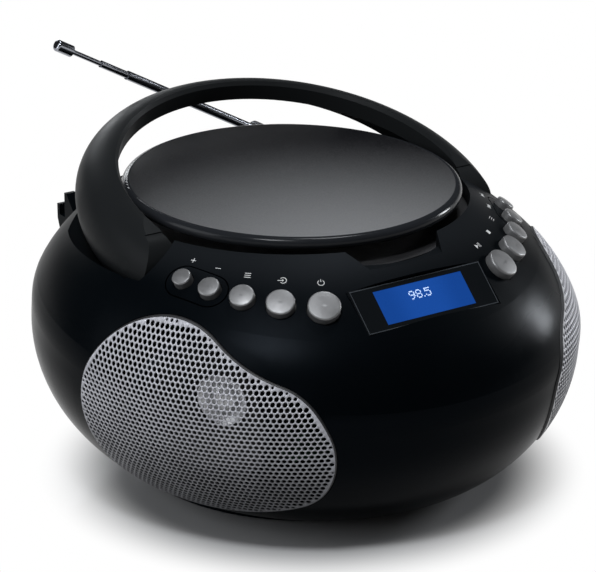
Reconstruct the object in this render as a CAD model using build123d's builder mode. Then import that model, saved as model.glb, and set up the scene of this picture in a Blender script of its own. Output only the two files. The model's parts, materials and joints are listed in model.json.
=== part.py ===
from build123d import *
import os
from math import asin, atan2, cos, degrees, hypot, pi, radians, sin, sqrt, tan

os.makedirs("parts", exist_ok=True)

# Millimetres and degrees. X to the right, Y to the back, Z up, the table at Z = 0.

# Body: a round shell that leans forward
body_radius = 122.8
body_height = 73.4        # from the table to the widest line, on the axis
shoulder_arcs = [(21.8, 25.4), (66.9, 26.6)]  # radius and degrees, from the widest line up to the crown
belly_side = 7.1          # straight part below the widest line
belly_arcs = [(58.5, 73.0)]
body_lean = 7.0
wall = 2.5
seam_height = 12.5        # joint between the base and the upper shell

# Base
foot_height = 2.0
foot_radius = 7.0
foot_sink = 0.6
plinth_radius = 78.0
plinth_height = 22.0
plinth_gap = 0.2
foot_inset = 11.0         # foot centre in from the plinth's edge
foot_angle = 52.0         # feet off the X axis
screw_post_radius = 4.5
screw_posts = [(24.0, -62.0), (62.0, 30.0)]
screw_post_foot = 3.5     # the base's share of each post, above its floor
screw_rib = 2.0
screw_head_radius = 3.0
screw_head_height = 1.6
screw_head_sink = 2.2
screw_radius = 1.4
screw_length = 20.0

# Lid and disc well
lid_radius = 76.0
lid_height = 129.5        # rim plane above the table, at the lid's centre
lid_setback = 11.0        # lid centre behind the body's centre
lid_lean = 2.0
lid_thickness = 5.5
lid_crown = 1.3
lid_skin = 2.2
lid_rim_width = 5.0
well_gap = 3.5
well_depth = 15.0
well_wall = 2.5
well_floor = 2.0
ledge_width = 3.0
well_fit = 0.2
disc_radius = 60.0
disc_room = 1.5
disc_recess = 1.5
running_fit = 0.06

# Lid hinge
hinge_setback = 62.0      # hinge line behind the lid's centre
hinge_drop = 5.5
hinge_reach = 24.0
knuckle_radius = 2.7
knuckle_width = 4.0
knuckle_room = 1.2
ear_width = 4.0
hinge_pin_radius = 1.2
side_gap = 0.4

# Handle: a curved band round the lid, turned up from its trough
handle_raise = 14.9
pivot_setback = -14.0     # pivot line, from the lid's centre
pivot_drop = 16.8
handle_gap = 4.0          # from the lid's edge to the band
handle_drop = 1.8         # band's top below the rim plane when folded
handle_chamfer = 1.5
skirt_radius = 90.8
skirt_depth = 31.7
skirt_bulge = 10.6
band_hollow_radius = 12.8
band_hollow_depth = 21.8
band_hollow_inset = 1.2
under_slope = 11.7        # underside rises towards the back of the band
under_depth = 31.0
arm_end_radius = 12.5
arm_top = 13.0            # above the pivots
arm_top_slope = 11.0
trough_gap = 1.2
trough_radius = 100.0
trough_floor = 1.6
core_start = 24.0         # behind the lid's centre
boss_radius = 6.5
boss_gap = 0.6
boss_proud = 1.5          # bosses stand out past the skirt's foot
boss_depth = 6.0          # and in past the hollow
handle_pin_radius = 2.5
handle_pin_length = 9.5

# Finger notch in front of the lid
notch_back_width = 48.0
notch_front_width = 36.0
notch_reach = 9.5
notch_depth = 10.4
notch_well_radius = 40.0
notch_well_reach = 6.6
notch_well_depth = 17.0
notch_wall = 2.0

# Display
window_width = 68.5
window_length = 21.6
window_slope = 43.0
window_setback = 89.1     # in front of the body's axis
window_height = 103.8
window_thickness = 1.6
lcd_width = 46.0
lcd_length = 16.0
lcd_sink = 0.2
window_gap = 0.25
window_ledge = 2.5
window_edge = 0.4
display_board_thickness = 1.6

# Buttons, on a ring round the body's axis, from the front outwards
button_ring_radius = 89.2
first_button_angle = 31.1
first_button_diameter = 14.0
button_taper = 0.88
button_spacing = 4.8
button_proud = 3.4
button_crown = 0.3
button_edge = 0.8
button_travel = 1.2
button_gap = 0.4
button_flange = 1.2
flange_drop = 4.8
flange_thickness = 1.4
stem_radius = 1.8
stem_length = 3.0
switch_size = 6.0
switch_gap = 0.15
switch_height = 1.8
bridge_width = 16.0
bridge_thickness = 1.6
bridge_margin = 5.0       # degrees past the outermost buttons
bridge_leg = 1.4
island_border = 2.4
island_gap = 0.6
island_lip = 1.2
left_buttons = ["power_button", "source_button", "mode_button", "volume_down_button", "volume_up_button"]
right_buttons = ["play_button", "stop_button", "menu_button", "back_button", "forward_button"]

# Speakers and grilles
grille_angle = 56.5       # from the front, round the body's axis
grille_start = (56.7, -25.7)  # outline's foremost point, from the speaker's middle: forwards and up
grille_heading = 66.6
# Radius and turn of each arc in order; a negative pair bends the other way, into the waist.
grille_arcs = [(32.0, 101.4), (-139.5, -13.5), (42.7, 128.4), (53.3, 22.3), (34.2, 51.3), (135.1, 28.9)]
grille_proud = 0.8
grille_thickness = 2.0
grille_ledge = 3.0
grille_gap = 0.3
speaker_drop = 6.0
speaker_radius = 34.0
speaker_opening = 29.0
speaker_front = 102.0     # from the body's axis to the front flange
speaker_flange = 2.0
baffle_wall = 3.0
basket_depth = 20.0
basket_front = 31.0
basket_back = 25.0
basket_wall = 1.4
basket_window = 14.0
basket_window_height = 9.0
magnet_radius = 24.0
magnet_height = 12.0
coil_radius = 8.4
coil_wall = 0.7
coil_gap = 0.9
coil_depth = 7.0
coil_reach = 4.0
cone_radius = 28.0
cone_sink = 2.2           # cone's edge behind the front flange
cone_depth = 10.0
cone_wall = 0.8
dust_cap_height = 4.0

# Disc drive
turntable_radius = 14.0
turntable_thickness = 1.8
turntable_top = 10.7      # below the rim plane
hub_radius = 7.3
hub_height = 1.0
spindle_radius = 1.0
spindle_hole = 17.0
clamp_radius = 13.0
clamp_flange = 2.0
clamp_flange_thickness = 1.0
clamp_lift = 1.5          # clamp's face above the turntable
clamp_gap = 0.5
liner_thickness = 1.4
liner_gap = 0.3
liner_drop = 4.0          # liner's top below the rim plane
liner_step = 3.0
chassis_drop = 21.0
chassis_thickness = 1.5
chassis_length = 108.0
chassis_width = 50.0
chassis_shift = 18.0
motor_radius = 11.0
motor_height = 9.0
motor_boss_radius = 4.0
motor_boss_gap = 0.8
sled_place = 25.0         # lens to the right of the spindle, at rest
sled_travel = 30.0
sled_length = 22.0
sled_width = 32.0
sled_height = 4.2
sled_neck = 14.0
sled_neck_height = 8.0
rail_radius = 1.5
rail_spacing = 25.0
rail_drop = 2.6           # below the chassis
rail_end = 3.0
rail_margin = 1.0
lens_radius = 3.0
lens_height = 1.5
slot_width = 17.0
slot_length = 48.0
slot_start = 15.0
gear_teeth = 16
gear_pitch_radius = 6.0
gear_addendum = 0.6
gear_dedendum = 0.9
gear_tooth_width = 0.9
gear_thickness = 2.4
gear_place = 40.0
gear_shaft_radius = 1.2
gear_gap = 0.5
rack_depth = 0.8
sled_motor_radius = 7.0
sled_motor_length = 12.0
sled_motor_back = 24.5
damper_radius = 4.0
damper_bore = 1.5
damper_inset = 6.0
damper_peg_gap = 0.1

# Antenna
antenna_right = 50.0
antenna_back = 114.6
antenna_height = 115.5
antenna_rise = 28.8
tube_radii = [2.2, 1.7, 1.2, 0.75]
tube_lengths = [78.5, 78.0, 74.0, 68.0]
tube_shown = [0.0, 16.0, 17.0, 0.6]
tube_start = 5.0          # main tube's lower end, from the pivot
tube_plug = 3.0
tube_fit = 0.05
tip_radius = 2.8
tip_length = 9.0
tip_edge = 1.2
antenna_knuckle_radius = 4.2
antenna_blade = 3.0
blade_gap = 0.3
fork_ear = 2.4
antenna_pin_radius = 1.3
swivel_radius = 5.5
swivel_drop = 8.0
swivel_shoulder = 3.4
mount_radius = 7.0
mount_height = 22.0
mount_web = 20.0
spigot_radius = 2.6
spigot_length = 9.0
spigot_gap = 0.3

# Antenna rest at the back left: a clip open upwards
rest_left = 57.5
rest_width = 5.0
rest_middle = 114.5       # behind the origin
rest_gap = 5.0
rest_prong = 2.0
rest_inner_top = 105.5
rest_outer_top = 98.5
rest_floor = 93.5
rest_base = 86.0
rest_web = 12.0

# Battery tray and door
battery_width = 104.0
battery_length = 52.0
battery_room = 27.0
battery_front = -8.0
tray_wall = 1.8
door_gap = 0.5
door_knuckle_radius = 1.9
door_pin_radius = 0.9
door_pin_length = 1.5
door_grip = (24.0, 3.0, 1.0)
contact_width = 14.0
contact_height = 16.0
contact_thickness = 0.5
leaf_width = 8.0
leaf_height = 12.0
leaf_reach = 7.0

# Boards and rear panel
panel_width = 72.0
panel_height = 27.0
panel_middle = 49.0
panel_setback = 110.0
socket_depth = 14.0
inlet_width = 19.0
inlet_height = 11.0
inlet_right = 18.0
inlet_border = 1.0
inlet_lip = 0.8
inlet_lobe_radius = 3.3
inlet_lobe_spacing = 8.6
inlet_recess = 11.0
inlet_pin_radius = 1.1
inlet_pin_length = 8.0
jack_radius = 1.8
jack_collar = 1.2
jack_left = 12.0
jack_spacing = 15.0
jack_block = 9.0
jack_lip = 1.0
jack_recess = 12.0
board_thickness = 1.6
main_board_width = 104.0
main_board_front = -68.0
main_board_back = 0.0
power_board_width = 76.0
power_board_height = 26.0
power_board_lift = 3.0
chip_size = (12.0, 9.0)
chip_height = 1.8
chip_spots = [(-30.0, -30.0), (0.0, -44.0), (26.0, -28.0), (2.0, -20.0)]
can_radius = 4.0
can_height = 3.4
can_spots = [(-14.0, -56.0), (-40.0, -52.0), (42.0, -56.0), (14.0, -58.0), (-10.0, -32.0)]
transformer_size = (26.0, 20.0)
transformer_height = 16.0
transformer_left = 20.0
big_can_radius = 5.5
big_can_height = 18.0
big_can_spots = [(4.0, 8.0), (20.0, 8.0), (20.0, -4.0)]


def leaning_plane(setback, height, lean):
    facing = (0, -sin(radians(lean)), cos(radians(lean)))
    return Plane(origin=(0, setback, height), x_dir=(1, 0, 0), z_dir=facing)


def plane_on(base, at, facing=(0, 0, 1), across=(1, 0, 0)):
    """A plane whose point and directions are given in the directions of another plane."""
    x_dir = base.from_local_coords(across) - base.origin
    z_dir = base.from_local_coords(facing) - base.origin
    return Plane(origin=base.from_local_coords(at), x_dir=x_dir, z_dir=z_dir)


def half_section(base):
    """The plane in which a shape turned about base's Z axis is drawn."""
    return plane_on(base, (0, 0, 0), facing=(0, -1, 0))


def axis_of(base):
    return Axis(base.origin, base.z_dir)


body_plane = leaning_plane(0, body_height, body_lean)
lid_plane = leaning_plane(lid_setback, lid_height, lid_lean)
well_radius = lid_radius + well_gap
pivot_y = pivot_setback
pivot_z = -pivot_drop
turn = radians(handle_raise)
handle_origin = (
    0,
    pivot_y - pivot_y * cos(turn) + pivot_z * sin(turn),
    pivot_z - pivot_y * sin(turn) - pivot_z * cos(turn),
)
handle_plane = plane_on(lid_plane, handle_origin, facing=(0, -sin(turn), cos(turn)))


def dome(arcs):
    """Radius of the sphere that closes a row of arcs on the axis, and its centre's height."""
    across, along, turned = body_radius, 0, 0
    for radius, sweep in arcs:
        after = turned + radians(sweep)
        across += radius * (cos(after) - cos(turned))
        along += radius * (sin(after) - sin(turned))
        turned = after
    return across / cos(turned), along - across * tan(turned)


def outline_half(arcs, growth, start, up):
    """Arcs that run into each other from the widest line, and the last one onto the axis."""
    sphere, centre = dome(arcs)
    tangent = (0, up)
    end = (body_radius + growth, start)
    for radius, sweep in arcs:
        arc = JernArc(start=end, tangent=tangent, radius=radius + growth, arc_size=up * sweep)
        end = arc @ 1
        tangent = arc % 1
    pole = (0, start + up * (centre + sphere + growth))
    TangentArc(end, pole, tangent=tangent)
    return pole


def body_solid(growth):
    """The body's outer form, grown or shrunk all over."""
    with BuildPart() as solid:
        with BuildSketch(plane_on(body_plane, (0, 0, 0), facing=(1, 0, 0), across=(0, 1, 0))):
            with BuildLine():
                top = outline_half(shoulder_arcs, growth, 0, 1)
                bottom = outline_half(belly_arcs, growth, -belly_side, -1)
                Line((body_radius + growth, 0), (body_radius + growth, -belly_side))
                Line(top, bottom)
            make_face()
        revolve(axis=axis_of(body_plane))
    return solid.part


def surface_height(ring):
    """Height of the crown over the body plane, at a distance from the axis."""
    sphere, centre = dome(shoulder_arcs)
    return centre + sqrt(sphere ** 2 - ring ** 2)


def surface_tilt(ring):
    """How far the crown's surface leans outwards at a distance from the axis."""
    sphere, centre = dome(shoulder_arcs)
    return asin(ring / sphere)


def ring_plane(angle, ring=button_ring_radius):
    """Plane on the crown's surface, facing outwards; angle runs from the front to the right."""
    a = radians(angle)
    tilt = surface_tilt(ring)
    at = (ring * sin(a), -ring * cos(a), surface_height(ring))
    facing = (sin(tilt) * sin(a), -sin(tilt) * cos(a), cos(tilt))
    return plane_on(body_plane, at, facing=facing, across=(cos(a), sin(a), 0))


def side_plane(angle):
    """Plane through the body's axis, facing sideways out of the body."""
    a = radians(angle)
    return plane_on(body_plane, (0, 0, 0), facing=(sin(a), -cos(a), 0), across=(cos(a), sin(a), 0))


def skin_patch(outline, low, high):
    """The piece of the body's skin inside an outline, between two depths."""
    with BuildPart() as patch:
        extrude(to_extrude=outline, amount=2 * body_radius)
        add(body_solid(high), mode=Mode.INTERSECT)
        add(body_solid(low), mode=Mode.SUBTRACT)
    return patch.part


def rod(base, radius, low, high, places=((0, 0),)):
    """Round bars along base's Z axis, between two heights."""
    with BuildPart() as bars:
        with BuildSketch(base.offset(low)):
            with Locations(*places):
                Circle(radius)
        extrude(amount=high - low)
    return bars.part


def block(base, width, length, low, high, places=((0, 0),)):
    """Rectangular blocks on base, between two heights."""
    with BuildPart() as blocks:
        with BuildSketch(base.offset(low)):
            with Locations(*places):
                Rectangle(width, length)
        extrude(amount=high - low)
    return blocks.part


def mirrored(near, far):
    """The same stretch of an axis on its two sides, each from low to high."""
    return [(-far, -near), (near, far)]


def finish(part, name):
    part.label = name
    export_step(part, "parts/" + name + ".step")
    return part


# Handle and the trough that it folds into

band_radius = lid_radius + handle_gap
band_top = -handle_drop
hollow_centre = (band_radius - band_hollow_inset, band_top - band_hollow_depth)


def pivot_plane(base, reach=0.0):
    return plane_on(base, (reach, pivot_y, pivot_z), facing=(1, 0, 0), across=(0, 1, 0))


def swing_room(base, end_radius):
    """What the arms keep: all behind the pivot line, and a round end in front of it."""
    length = 2 * trough_radius
    with BuildPart() as room:
        with BuildSketch(pivot_plane(base, -length)):
            Circle(end_radius)
            with Locations((length / 2, 0)):
                Rectangle(length, 4 * under_depth)
        extrude(amount=2 * length)
    return room.part


def under_plane(base, extra=0.0):
    slope = radians(under_slope)
    return plane_on(base, (0, 0, -under_depth - extra), facing=(0, -sin(slope), cos(slope)))


def arm_top_plane():
    """Takes the arms' tops down a little at the pivots, so that they pass the deck."""
    slope = radians(arm_top_slope)
    at = (0, pivot_y, pivot_z + arm_top)
    return plane_on(handle_plane, at, facing=(0, -sin(slope), cos(slope)))


def handle_band():
    chord_r = (band_radius + handle_chamfer + skirt_radius) / 2
    chord_z = band_top - skirt_depth / 2
    lean = atan2(skirt_radius - band_radius - handle_chamfer, skirt_depth)
    crest = (chord_r + skirt_bulge * cos(lean), chord_z + skirt_bulge * sin(lean))
    skirt_end = (skirt_radius, band_top - skirt_depth)
    with BuildPart() as band:
        with BuildSketch(half_section(handle_plane)):
            with BuildLine():
                Line((band_radius, skirt_end[1]), (band_radius, band_top - handle_chamfer))
                Line((band_radius, band_top - handle_chamfer), (band_radius + handle_chamfer, band_top))
                ThreePointArc((band_radius + handle_chamfer, band_top), crest, skirt_end)
                Line(skirt_end, (band_radius, skirt_end[1]))
            make_face()
            with Locations(hollow_centre):
                Circle(band_hollow_radius, mode=Mode.SUBTRACT)
        revolve(axis=axis_of(handle_plane))
        split(bisect_by=under_plane(handle_plane), keep=Keep.TOP)
        split(bisect_by=arm_top_plane(), keep=Keep.BOTTOM)
        add(swing_room(handle_plane, arm_end_radius), mode=Mode.INTERSECT)
    return band.part


def trough_core():
    """The ridge that fills the hollow of the folded band, clear of the arms' ends."""
    with BuildPart() as core:
        with BuildSketch(half_section(lid_plane)):
            with Locations(hollow_centre):
                Circle(band_hollow_radius - trough_gap)
        revolve(axis=axis_of(lid_plane))
        split(bisect_by=plane_on(lid_plane, (0, core_start, 0), facing=(0, 1, 0)), keep=Keep.TOP)
    return core.part


def trough():
    """Room for the folded band and for its swing."""
    inner = well_radius - well_gap / 2
    floor = hollow_centre[1] - band_hollow_radius + trough_gap
    with BuildPart() as room:
        with BuildSketch(half_section(lid_plane)):
            with BuildLine():
                Polyline(
                    (inner, floor), (trough_radius, floor),
                    (trough_radius, -floor), (inner, -floor), close=True,
                )
            make_face()
        revolve(axis=axis_of(lid_plane))
        split(bisect_by=under_plane(lid_plane, trough_floor), keep=Keep.TOP)
        add(trough_core(), mode=Mode.SUBTRACT)
        add(swing_room(lid_plane, arm_end_radius + trough_gap), mode=Mode.INTERSECT)
    return room.part


boss_outer = skirt_radius + boss_proud
boss_inner = sqrt((hollow_centre[0] + band_hollow_radius) ** 2 - pivot_y ** 2) - boss_depth

with BuildPart() as handle:
    add(handle_band())
    for low, high in mirrored(boss_inner, boss_outer):
        add(rod(pivot_plane(handle_plane), boss_radius, low, high))
    add(
        rod(pivot_plane(handle_plane), handle_pin_radius + running_fit, -trough_radius, trough_radius),
        mode=Mode.SUBTRACT,
    )
finish(handle.part, "handle")

with BuildPart() as handle_pins:
    for low, high in mirrored(boss_outer - handle_pin_length, boss_outer):
        add(rod(pivot_plane(lid_plane), handle_pin_radius, low, high))
finish(handle_pins.part, "handle_pins")


# Base and upper shell

def notch_outline(growth):
    front = -well_radius - notch_reach - growth
    half_back = notch_back_width / 2 + growth
    half_front = notch_front_width / 2 + growth
    with BuildSketch(lid_plane.offset(-notch_depth)) as outline:
        with BuildLine():
            Polyline(
                (-half_back, -well_radius + 2 * well_gap),
                (-half_back, -well_radius + well_gap),
                (-half_front, front),
                (half_front, front),
                (half_back, -well_radius + well_gap),
                (half_back, -well_radius + 2 * well_gap),
                close=True,
            )
        make_face()
    return outline.sketch


def notch_well(growth):
    centre = -well_radius - notch_well_reach + notch_well_radius
    with BuildPart() as well:
        extrude(to_extrude=notch_outline(growth), amount=-(notch_well_depth - notch_depth + growth))
        add(
            rod(
                lid_plane, notch_well_radius + growth,
                -notch_well_depth - growth, notch_well_depth, [(0, centre)],
            ),
            mode=Mode.INTERSECT,
        )
    return well.part


window_plane = leaning_plane(-window_setback, window_height, window_slope)


def window_room(growth, low, high):
    return block(window_plane, window_width + 2 * growth, window_length + 2 * growth, low, high)


def button_diameter(index):
    return first_button_diameter * button_taper ** index


def button_angle(index):
    """Each button stands one spacing further round the ring than the one before."""
    angle = first_button_angle
    for step in range(index):
        pitch = (button_diameter(step) + button_diameter(step + 1)) / 2 + button_spacing
        angle += degrees(2 * asin(pitch / (2 * button_ring_radius)))
    return angle


last_button = len(left_buttons) - 1


def island_outline(side, growth):
    """Slot round the last two buttons."""
    angle = side * (button_angle(last_button - 1) + button_angle(last_button)) / 2
    pitch = (button_diameter(last_button - 1) + button_diameter(last_button)) / 2 + button_spacing
    width = button_diameter(last_button - 1) + 2 * (button_gap + island_border + growth)
    with BuildSketch(ring_plane(angle).offset(-4 * wall)) as outline:
        SlotCenterToCenter(pitch, width)
    return outline.sketch


def grille_outline(side, growth):
    """Kidney of arcs that run into each other, seen from straight outside the speaker."""
    heading = radians(grille_heading)
    forward, up = grille_start
    start = (-side * (forward + growth * sin(heading)), up - growth * cos(heading))
    end = start
    tangent = (-side * cos(heading), sin(heading))
    with BuildSketch(side_plane(side * grille_angle)) as outline:
        with BuildLine():
            for radius, sweep in grille_arcs:
                reach = abs(radius + growth)
                arc = JernArc(start=end, tangent=tangent, radius=reach, arc_size=-side * sweep)
                end = arc @ 1
                tangent = arc % 1
            TangentArc(end, start, tangent=tangent)
        make_face()
    return outline.sketch


def speaker_plane(side):
    return plane_on(side_plane(side * grille_angle), (0, -speaker_drop, 0))


rear_panel = Plane(origin=(0, panel_setback, panel_middle), x_dir=(-1, 0, 0), z_dir=(0, 1, 0))
jack_places = [(jack_left, 0), (jack_left + jack_spacing, 0)]
inlet_place = [(-inlet_right, 0)]
ledge_radius = well_radius - ledge_width
ledge_height = -well_depth - well_floor
window_moulding = window_thickness + window_ledge
floor_top = foot_height + wall
post_joint = floor_top + screw_post_foot
tray_ceiling = floor_top + battery_room
tray_top = tray_ceiling + tray_wall
tray_middle = [(0, battery_front + battery_length / 2)]
post_spots = [(side * across, back) for across, back in screw_posts for side in (-1, 1)]
foot_reach = plinth_radius - foot_inset
foot_spots = [
    (x * foot_reach * cos(radians(foot_angle)), y * foot_reach * sin(radians(foot_angle)))
    for x in (-1, 1)
    for y in (-1, 1)
]
door_hinge = Plane(
    origin=(0, battery_front + door_gap + door_knuckle_radius, foot_height + door_knuckle_radius),
    x_dir=(0, 1, 0),
    z_dir=(1, 0, 0),
)
door_reach = battery_width / 2 - door_gap

with BuildPart() as trough_block:
    with BuildSketch(half_section(lid_plane)):
        with BuildLine():
            block_low = -under_depth - 5 * wall
            block_top = 2 * well_depth
            block_out = trough_radius + wall
            Polyline(
                (well_radius, block_low), (block_out, block_low),
                (block_out, block_top), (well_radius, block_top), close=True,
            )
        make_face()
    revolve(axis=axis_of(lid_plane))
    split(bisect_by=under_plane(lid_plane, trough_floor + wall), keep=Keep.TOP)
    add(swing_room(lid_plane, arm_end_radius + trough_gap + wall), mode=Mode.INTERSECT)

with BuildPart() as cavity:
    add(body_solid(-wall))
    add(trough_block.part, mode=Mode.SUBTRACT)
    with BuildSketch(lid_plane.offset(ledge_height - well_floor)):
        Circle(well_radius + well_wall)
        Circle(ledge_radius, mode=Mode.SUBTRACT)
    extrude(amount=4 * well_depth, mode=Mode.SUBTRACT)
    extrude(to_extrude=notch_outline(notch_wall), amount=4 * notch_depth, mode=Mode.SUBTRACT)
    add(notch_well(notch_wall), mode=Mode.SUBTRACT)
    add(window_room(window_ledge, -window_moulding, window_length), mode=Mode.SUBTRACT)
    add(
        block(rear_panel, panel_width + 2 * wall, panel_height + 2 * wall, -wall, socket_depth),
        mode=Mode.SUBTRACT,
    )


def screw_post_ribs():
    """The upper shell's posts, each with a rib out to the skin."""
    with BuildPart() as ribs:
        for x, y in post_spots:
            outward = Plane(origin=(x, y, 0), x_dir=(x, y, 0), z_dir=(0, 0, 1))
            length = body_radius - hypot(x, y)
            add(rod(outward, screw_post_radius, post_joint, tray_top))
            add(block(outward, length, screw_rib, plinth_height + wall, tray_top, [(length / 2, 0)]))
        add(body_solid(-wall / 2), mode=Mode.INTERSECT)
    return ribs.part


def speaker_baffle(side):
    """The ring behind a grille, which the speaker's flange is screwed to."""
    base = speaker_plane(side)
    with BuildPart() as baffle:
        add(rod(base, speaker_radius, speaker_front, body_radius))
        add(rod(base, speaker_radius - baffle_wall, speaker_front, body_radius), mode=Mode.SUBTRACT)
        add(body_solid(grille_proud - grille_thickness), mode=Mode.INTERSECT)
    return baffle.part


with BuildPart() as base_shell:
    add(body_solid(0))
    add(cavity.part, mode=Mode.SUBTRACT)
    split(bisect_by=Plane.XY.offset(seam_height), keep=Keep.BOTTOM)
    add(rod(Plane.XY, plinth_radius, foot_height, plinth_height))
    add(rod(Plane.XY, plinth_radius - wall, floor_top, plinth_height), mode=Mode.SUBTRACT)
    split(bisect_by=Plane.XY.offset(foot_height), keep=Keep.TOP)
    add(rod(Plane.XY, screw_post_radius, foot_height, post_joint, post_spots))
    add(rod(Plane.XY, screw_head_radius, 0, foot_height + screw_head_sink, post_spots), mode=Mode.SUBTRACT)
    add(rod(Plane.XY, screw_radius, foot_height, post_joint, post_spots), mode=Mode.SUBTRACT)
    add(rod(Plane.XY, foot_radius, foot_height, foot_height + foot_sink, foot_spots), mode=Mode.SUBTRACT)
    add(
        block(Plane.XY, battery_width, battery_length, foot_height, floor_top, tray_middle),
        mode=Mode.SUBTRACT,
    )
    pin_end = door_reach + door_pin_length + door_gap
    add(rod(door_hinge, door_pin_radius + running_fit, -pin_end, pin_end), mode=Mode.SUBTRACT)
finish(base_shell.part, "base_shell")

with BuildPart() as rubber_feet:
    add(rod(Plane.XY, foot_radius, 0, foot_height + foot_sink, foot_spots))
    fillet(rubber_feet.faces().group_by(Axis.Z)[0].edges(), radius=foot_sink)
finish(rubber_feet.part, "rubber_feet")

with BuildPart() as case_screws:
    screw_shoulder = foot_height + screw_head_sink
    add(rod(Plane.XY, screw_head_radius, screw_shoulder - screw_head_height, screw_shoulder, post_spots))
    add(rod(Plane.XY, screw_radius, screw_shoulder, screw_shoulder + screw_length, post_spots))
    add(rod(Plane.XY, screw_radius, foot_height, screw_shoulder - screw_head_height / 2, post_spots),
        mode=Mode.SUBTRACT)
finish(case_screws.part, "case_screws")

with BuildPart() as upper_shell:
    add(body_solid(0))
    add(cavity.part, mode=Mode.SUBTRACT)
    add(screw_post_ribs())
    for side in (-1, 1):
        add(skin_patch(grille_outline(side, -grille_ledge), -4 * wall, 4 * wall), mode=Mode.SUBTRACT)
        add(speaker_baffle(side))
    split(bisect_by=Plane.XY.offset(seam_height), keep=Keep.TOP)
    add(
        rod(Plane.XY, plinth_radius + plinth_gap, foot_height, plinth_height + plinth_gap),
        mode=Mode.SUBTRACT,
    )
    add(rod(Plane.XY, screw_post_radius, post_joint, plinth_height + wall, post_spots))
    add(
        rod(Plane.XY, screw_radius, post_joint, screw_shoulder + screw_length, post_spots),
        mode=Mode.SUBTRACT,
    )
    add(rod(lid_plane, well_radius, ledge_height, 4 * well_depth), mode=Mode.SUBTRACT)
    add(rod(lid_plane, ledge_radius, -3 * well_depth, 0), mode=Mode.SUBTRACT)
    add(trough(), mode=Mode.SUBTRACT)
    for low, high in mirrored(boss_inner - boss_gap, boss_outer + boss_radius):
        add(rod(pivot_plane(lid_plane), boss_radius + boss_gap, low, high), mode=Mode.SUBTRACT)
    for low, high in mirrored(boss_outer - handle_pin_length, boss_outer):
        add(rod(pivot_plane(lid_plane), handle_pin_radius, low, high), mode=Mode.SUBTRACT)
    extrude(to_extrude=notch_outline(0), amount=4 * notch_depth, mode=Mode.SUBTRACT)
    add(notch_well(0), mode=Mode.SUBTRACT)
    add(window_room(window_gap, -window_thickness, window_length), mode=Mode.SUBTRACT)
    add(window_room(-window_ledge, -2 * window_moulding, window_length), mode=Mode.SUBTRACT)
    for side in (-1, 1):
        rebate = grille_proud - grille_thickness
        add(skin_patch(grille_outline(side, grille_gap), rebate, 4 * wall), mode=Mode.SUBTRACT)
        for index in range(last_button - 1):
            hole = button_diameter(index) / 2 + button_gap
            add(rod(ring_plane(side * button_angle(index)), hole, -3 * wall, 2 * wall), mode=Mode.SUBTRACT)
        extrude(to_extrude=island_outline(side, island_gap), amount=8 * wall, mode=Mode.SUBTRACT)
    add(block(rear_panel, panel_width, panel_height, 0, 2 * socket_depth), mode=Mode.SUBTRACT)
    add(block(rear_panel, inlet_width, inlet_height, -2 * wall, 0, inlet_place), mode=Mode.SUBTRACT)
    add(rod(rear_panel, jack_radius + jack_collar, -2 * wall, 0, jack_places), mode=Mode.SUBTRACT)
finish(upper_shell.part, "upper_shell")


# Display

with BuildPart() as display_window:
    add(window_room(0, -window_thickness, 0))
    chamfer(display_window.faces().sort_by(axis_of(window_plane))[-1].edges(), length=window_edge)
    add(block(window_plane, lcd_width, lcd_length, -window_thickness, 0), mode=Mode.SUBTRACT)
finish(display_window.part, "display_window")

with BuildPart() as lcd_panel:
    add(block(window_plane, lcd_width, lcd_length, -window_moulding, -lcd_sink))
finish(lcd_panel.part, "lcd_panel")

with BuildPart() as display_board:
    add(window_room(0, -window_moulding - display_board_thickness, -window_moulding))
finish(display_board.part, "display_board")


# Buttons, their islands, bridges and switches

flange_low = flange_drop + flange_thickness
stem_end = flange_low + stem_length
switch_top = stem_end + button_travel + switch_gap
bridge_top = switch_top + switch_height


def button_solid(base, radius):
    """A cap with rounded edge and slight crown, a hidden flange, and a stem to the switch."""
    with BuildPart() as button:
        with BuildSketch(half_section(base)):
            with BuildLine():
                Polyline(
                    (0, button_proud + button_crown),
                    (0, -stem_end),
                    (stem_radius, -stem_end),
                    (stem_radius, -flange_low),
                    (radius + button_flange, -flange_low),
                    (radius + button_flange, -flange_drop),
                    (radius, -flange_drop),
                    (radius, button_proud - button_edge),
                )
                shoulder = (radius - button_edge, button_proud)
                TangentArc((radius, button_proud - button_edge), shoulder, tangent=(0, 1))
                TangentArc((0, button_proud + button_crown), shoulder, tangent=(1, 0))
            make_face()
        revolve(axis=axis_of(base))
    return button.part


def radial_section(angle):
    """The plane through the body's axis in which x runs outwards and y runs up."""
    a = radians(angle)
    return plane_on(body_plane, (0, 0, 0), facing=(-cos(a), -sin(a), 0), across=(sin(a), -cos(a), 0))


def ring_seat():
    """Where the button ring cuts a radial section, turned to face out of the crown."""
    tilt = degrees(surface_tilt(button_ring_radius))
    return Location((button_ring_radius, surface_height(button_ring_radius)), -tilt)


def bridge_leg_solid(side, index, depth):
    """A leg between two buttons, from the bridge up to a depth under the body's surface."""
    share = button_diameter(index) / (button_diameter(index) + button_diameter(index + 1))
    angle = button_angle(index) + share * (button_angle(index + 1) - button_angle(index))
    with BuildPart() as leg:
        with BuildSketch(radial_section(side * angle)):
            with Locations(ring_seat()):
                with Locations((0, -bridge_top / 2)):
                    Rectangle(bridge_width / 2, bridge_top + bridge_thickness)
        extrude(amount=bridge_leg / 2, both=True)
        add(body_solid(-depth), mode=Mode.INTERSECT)
    return leg.part


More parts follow.
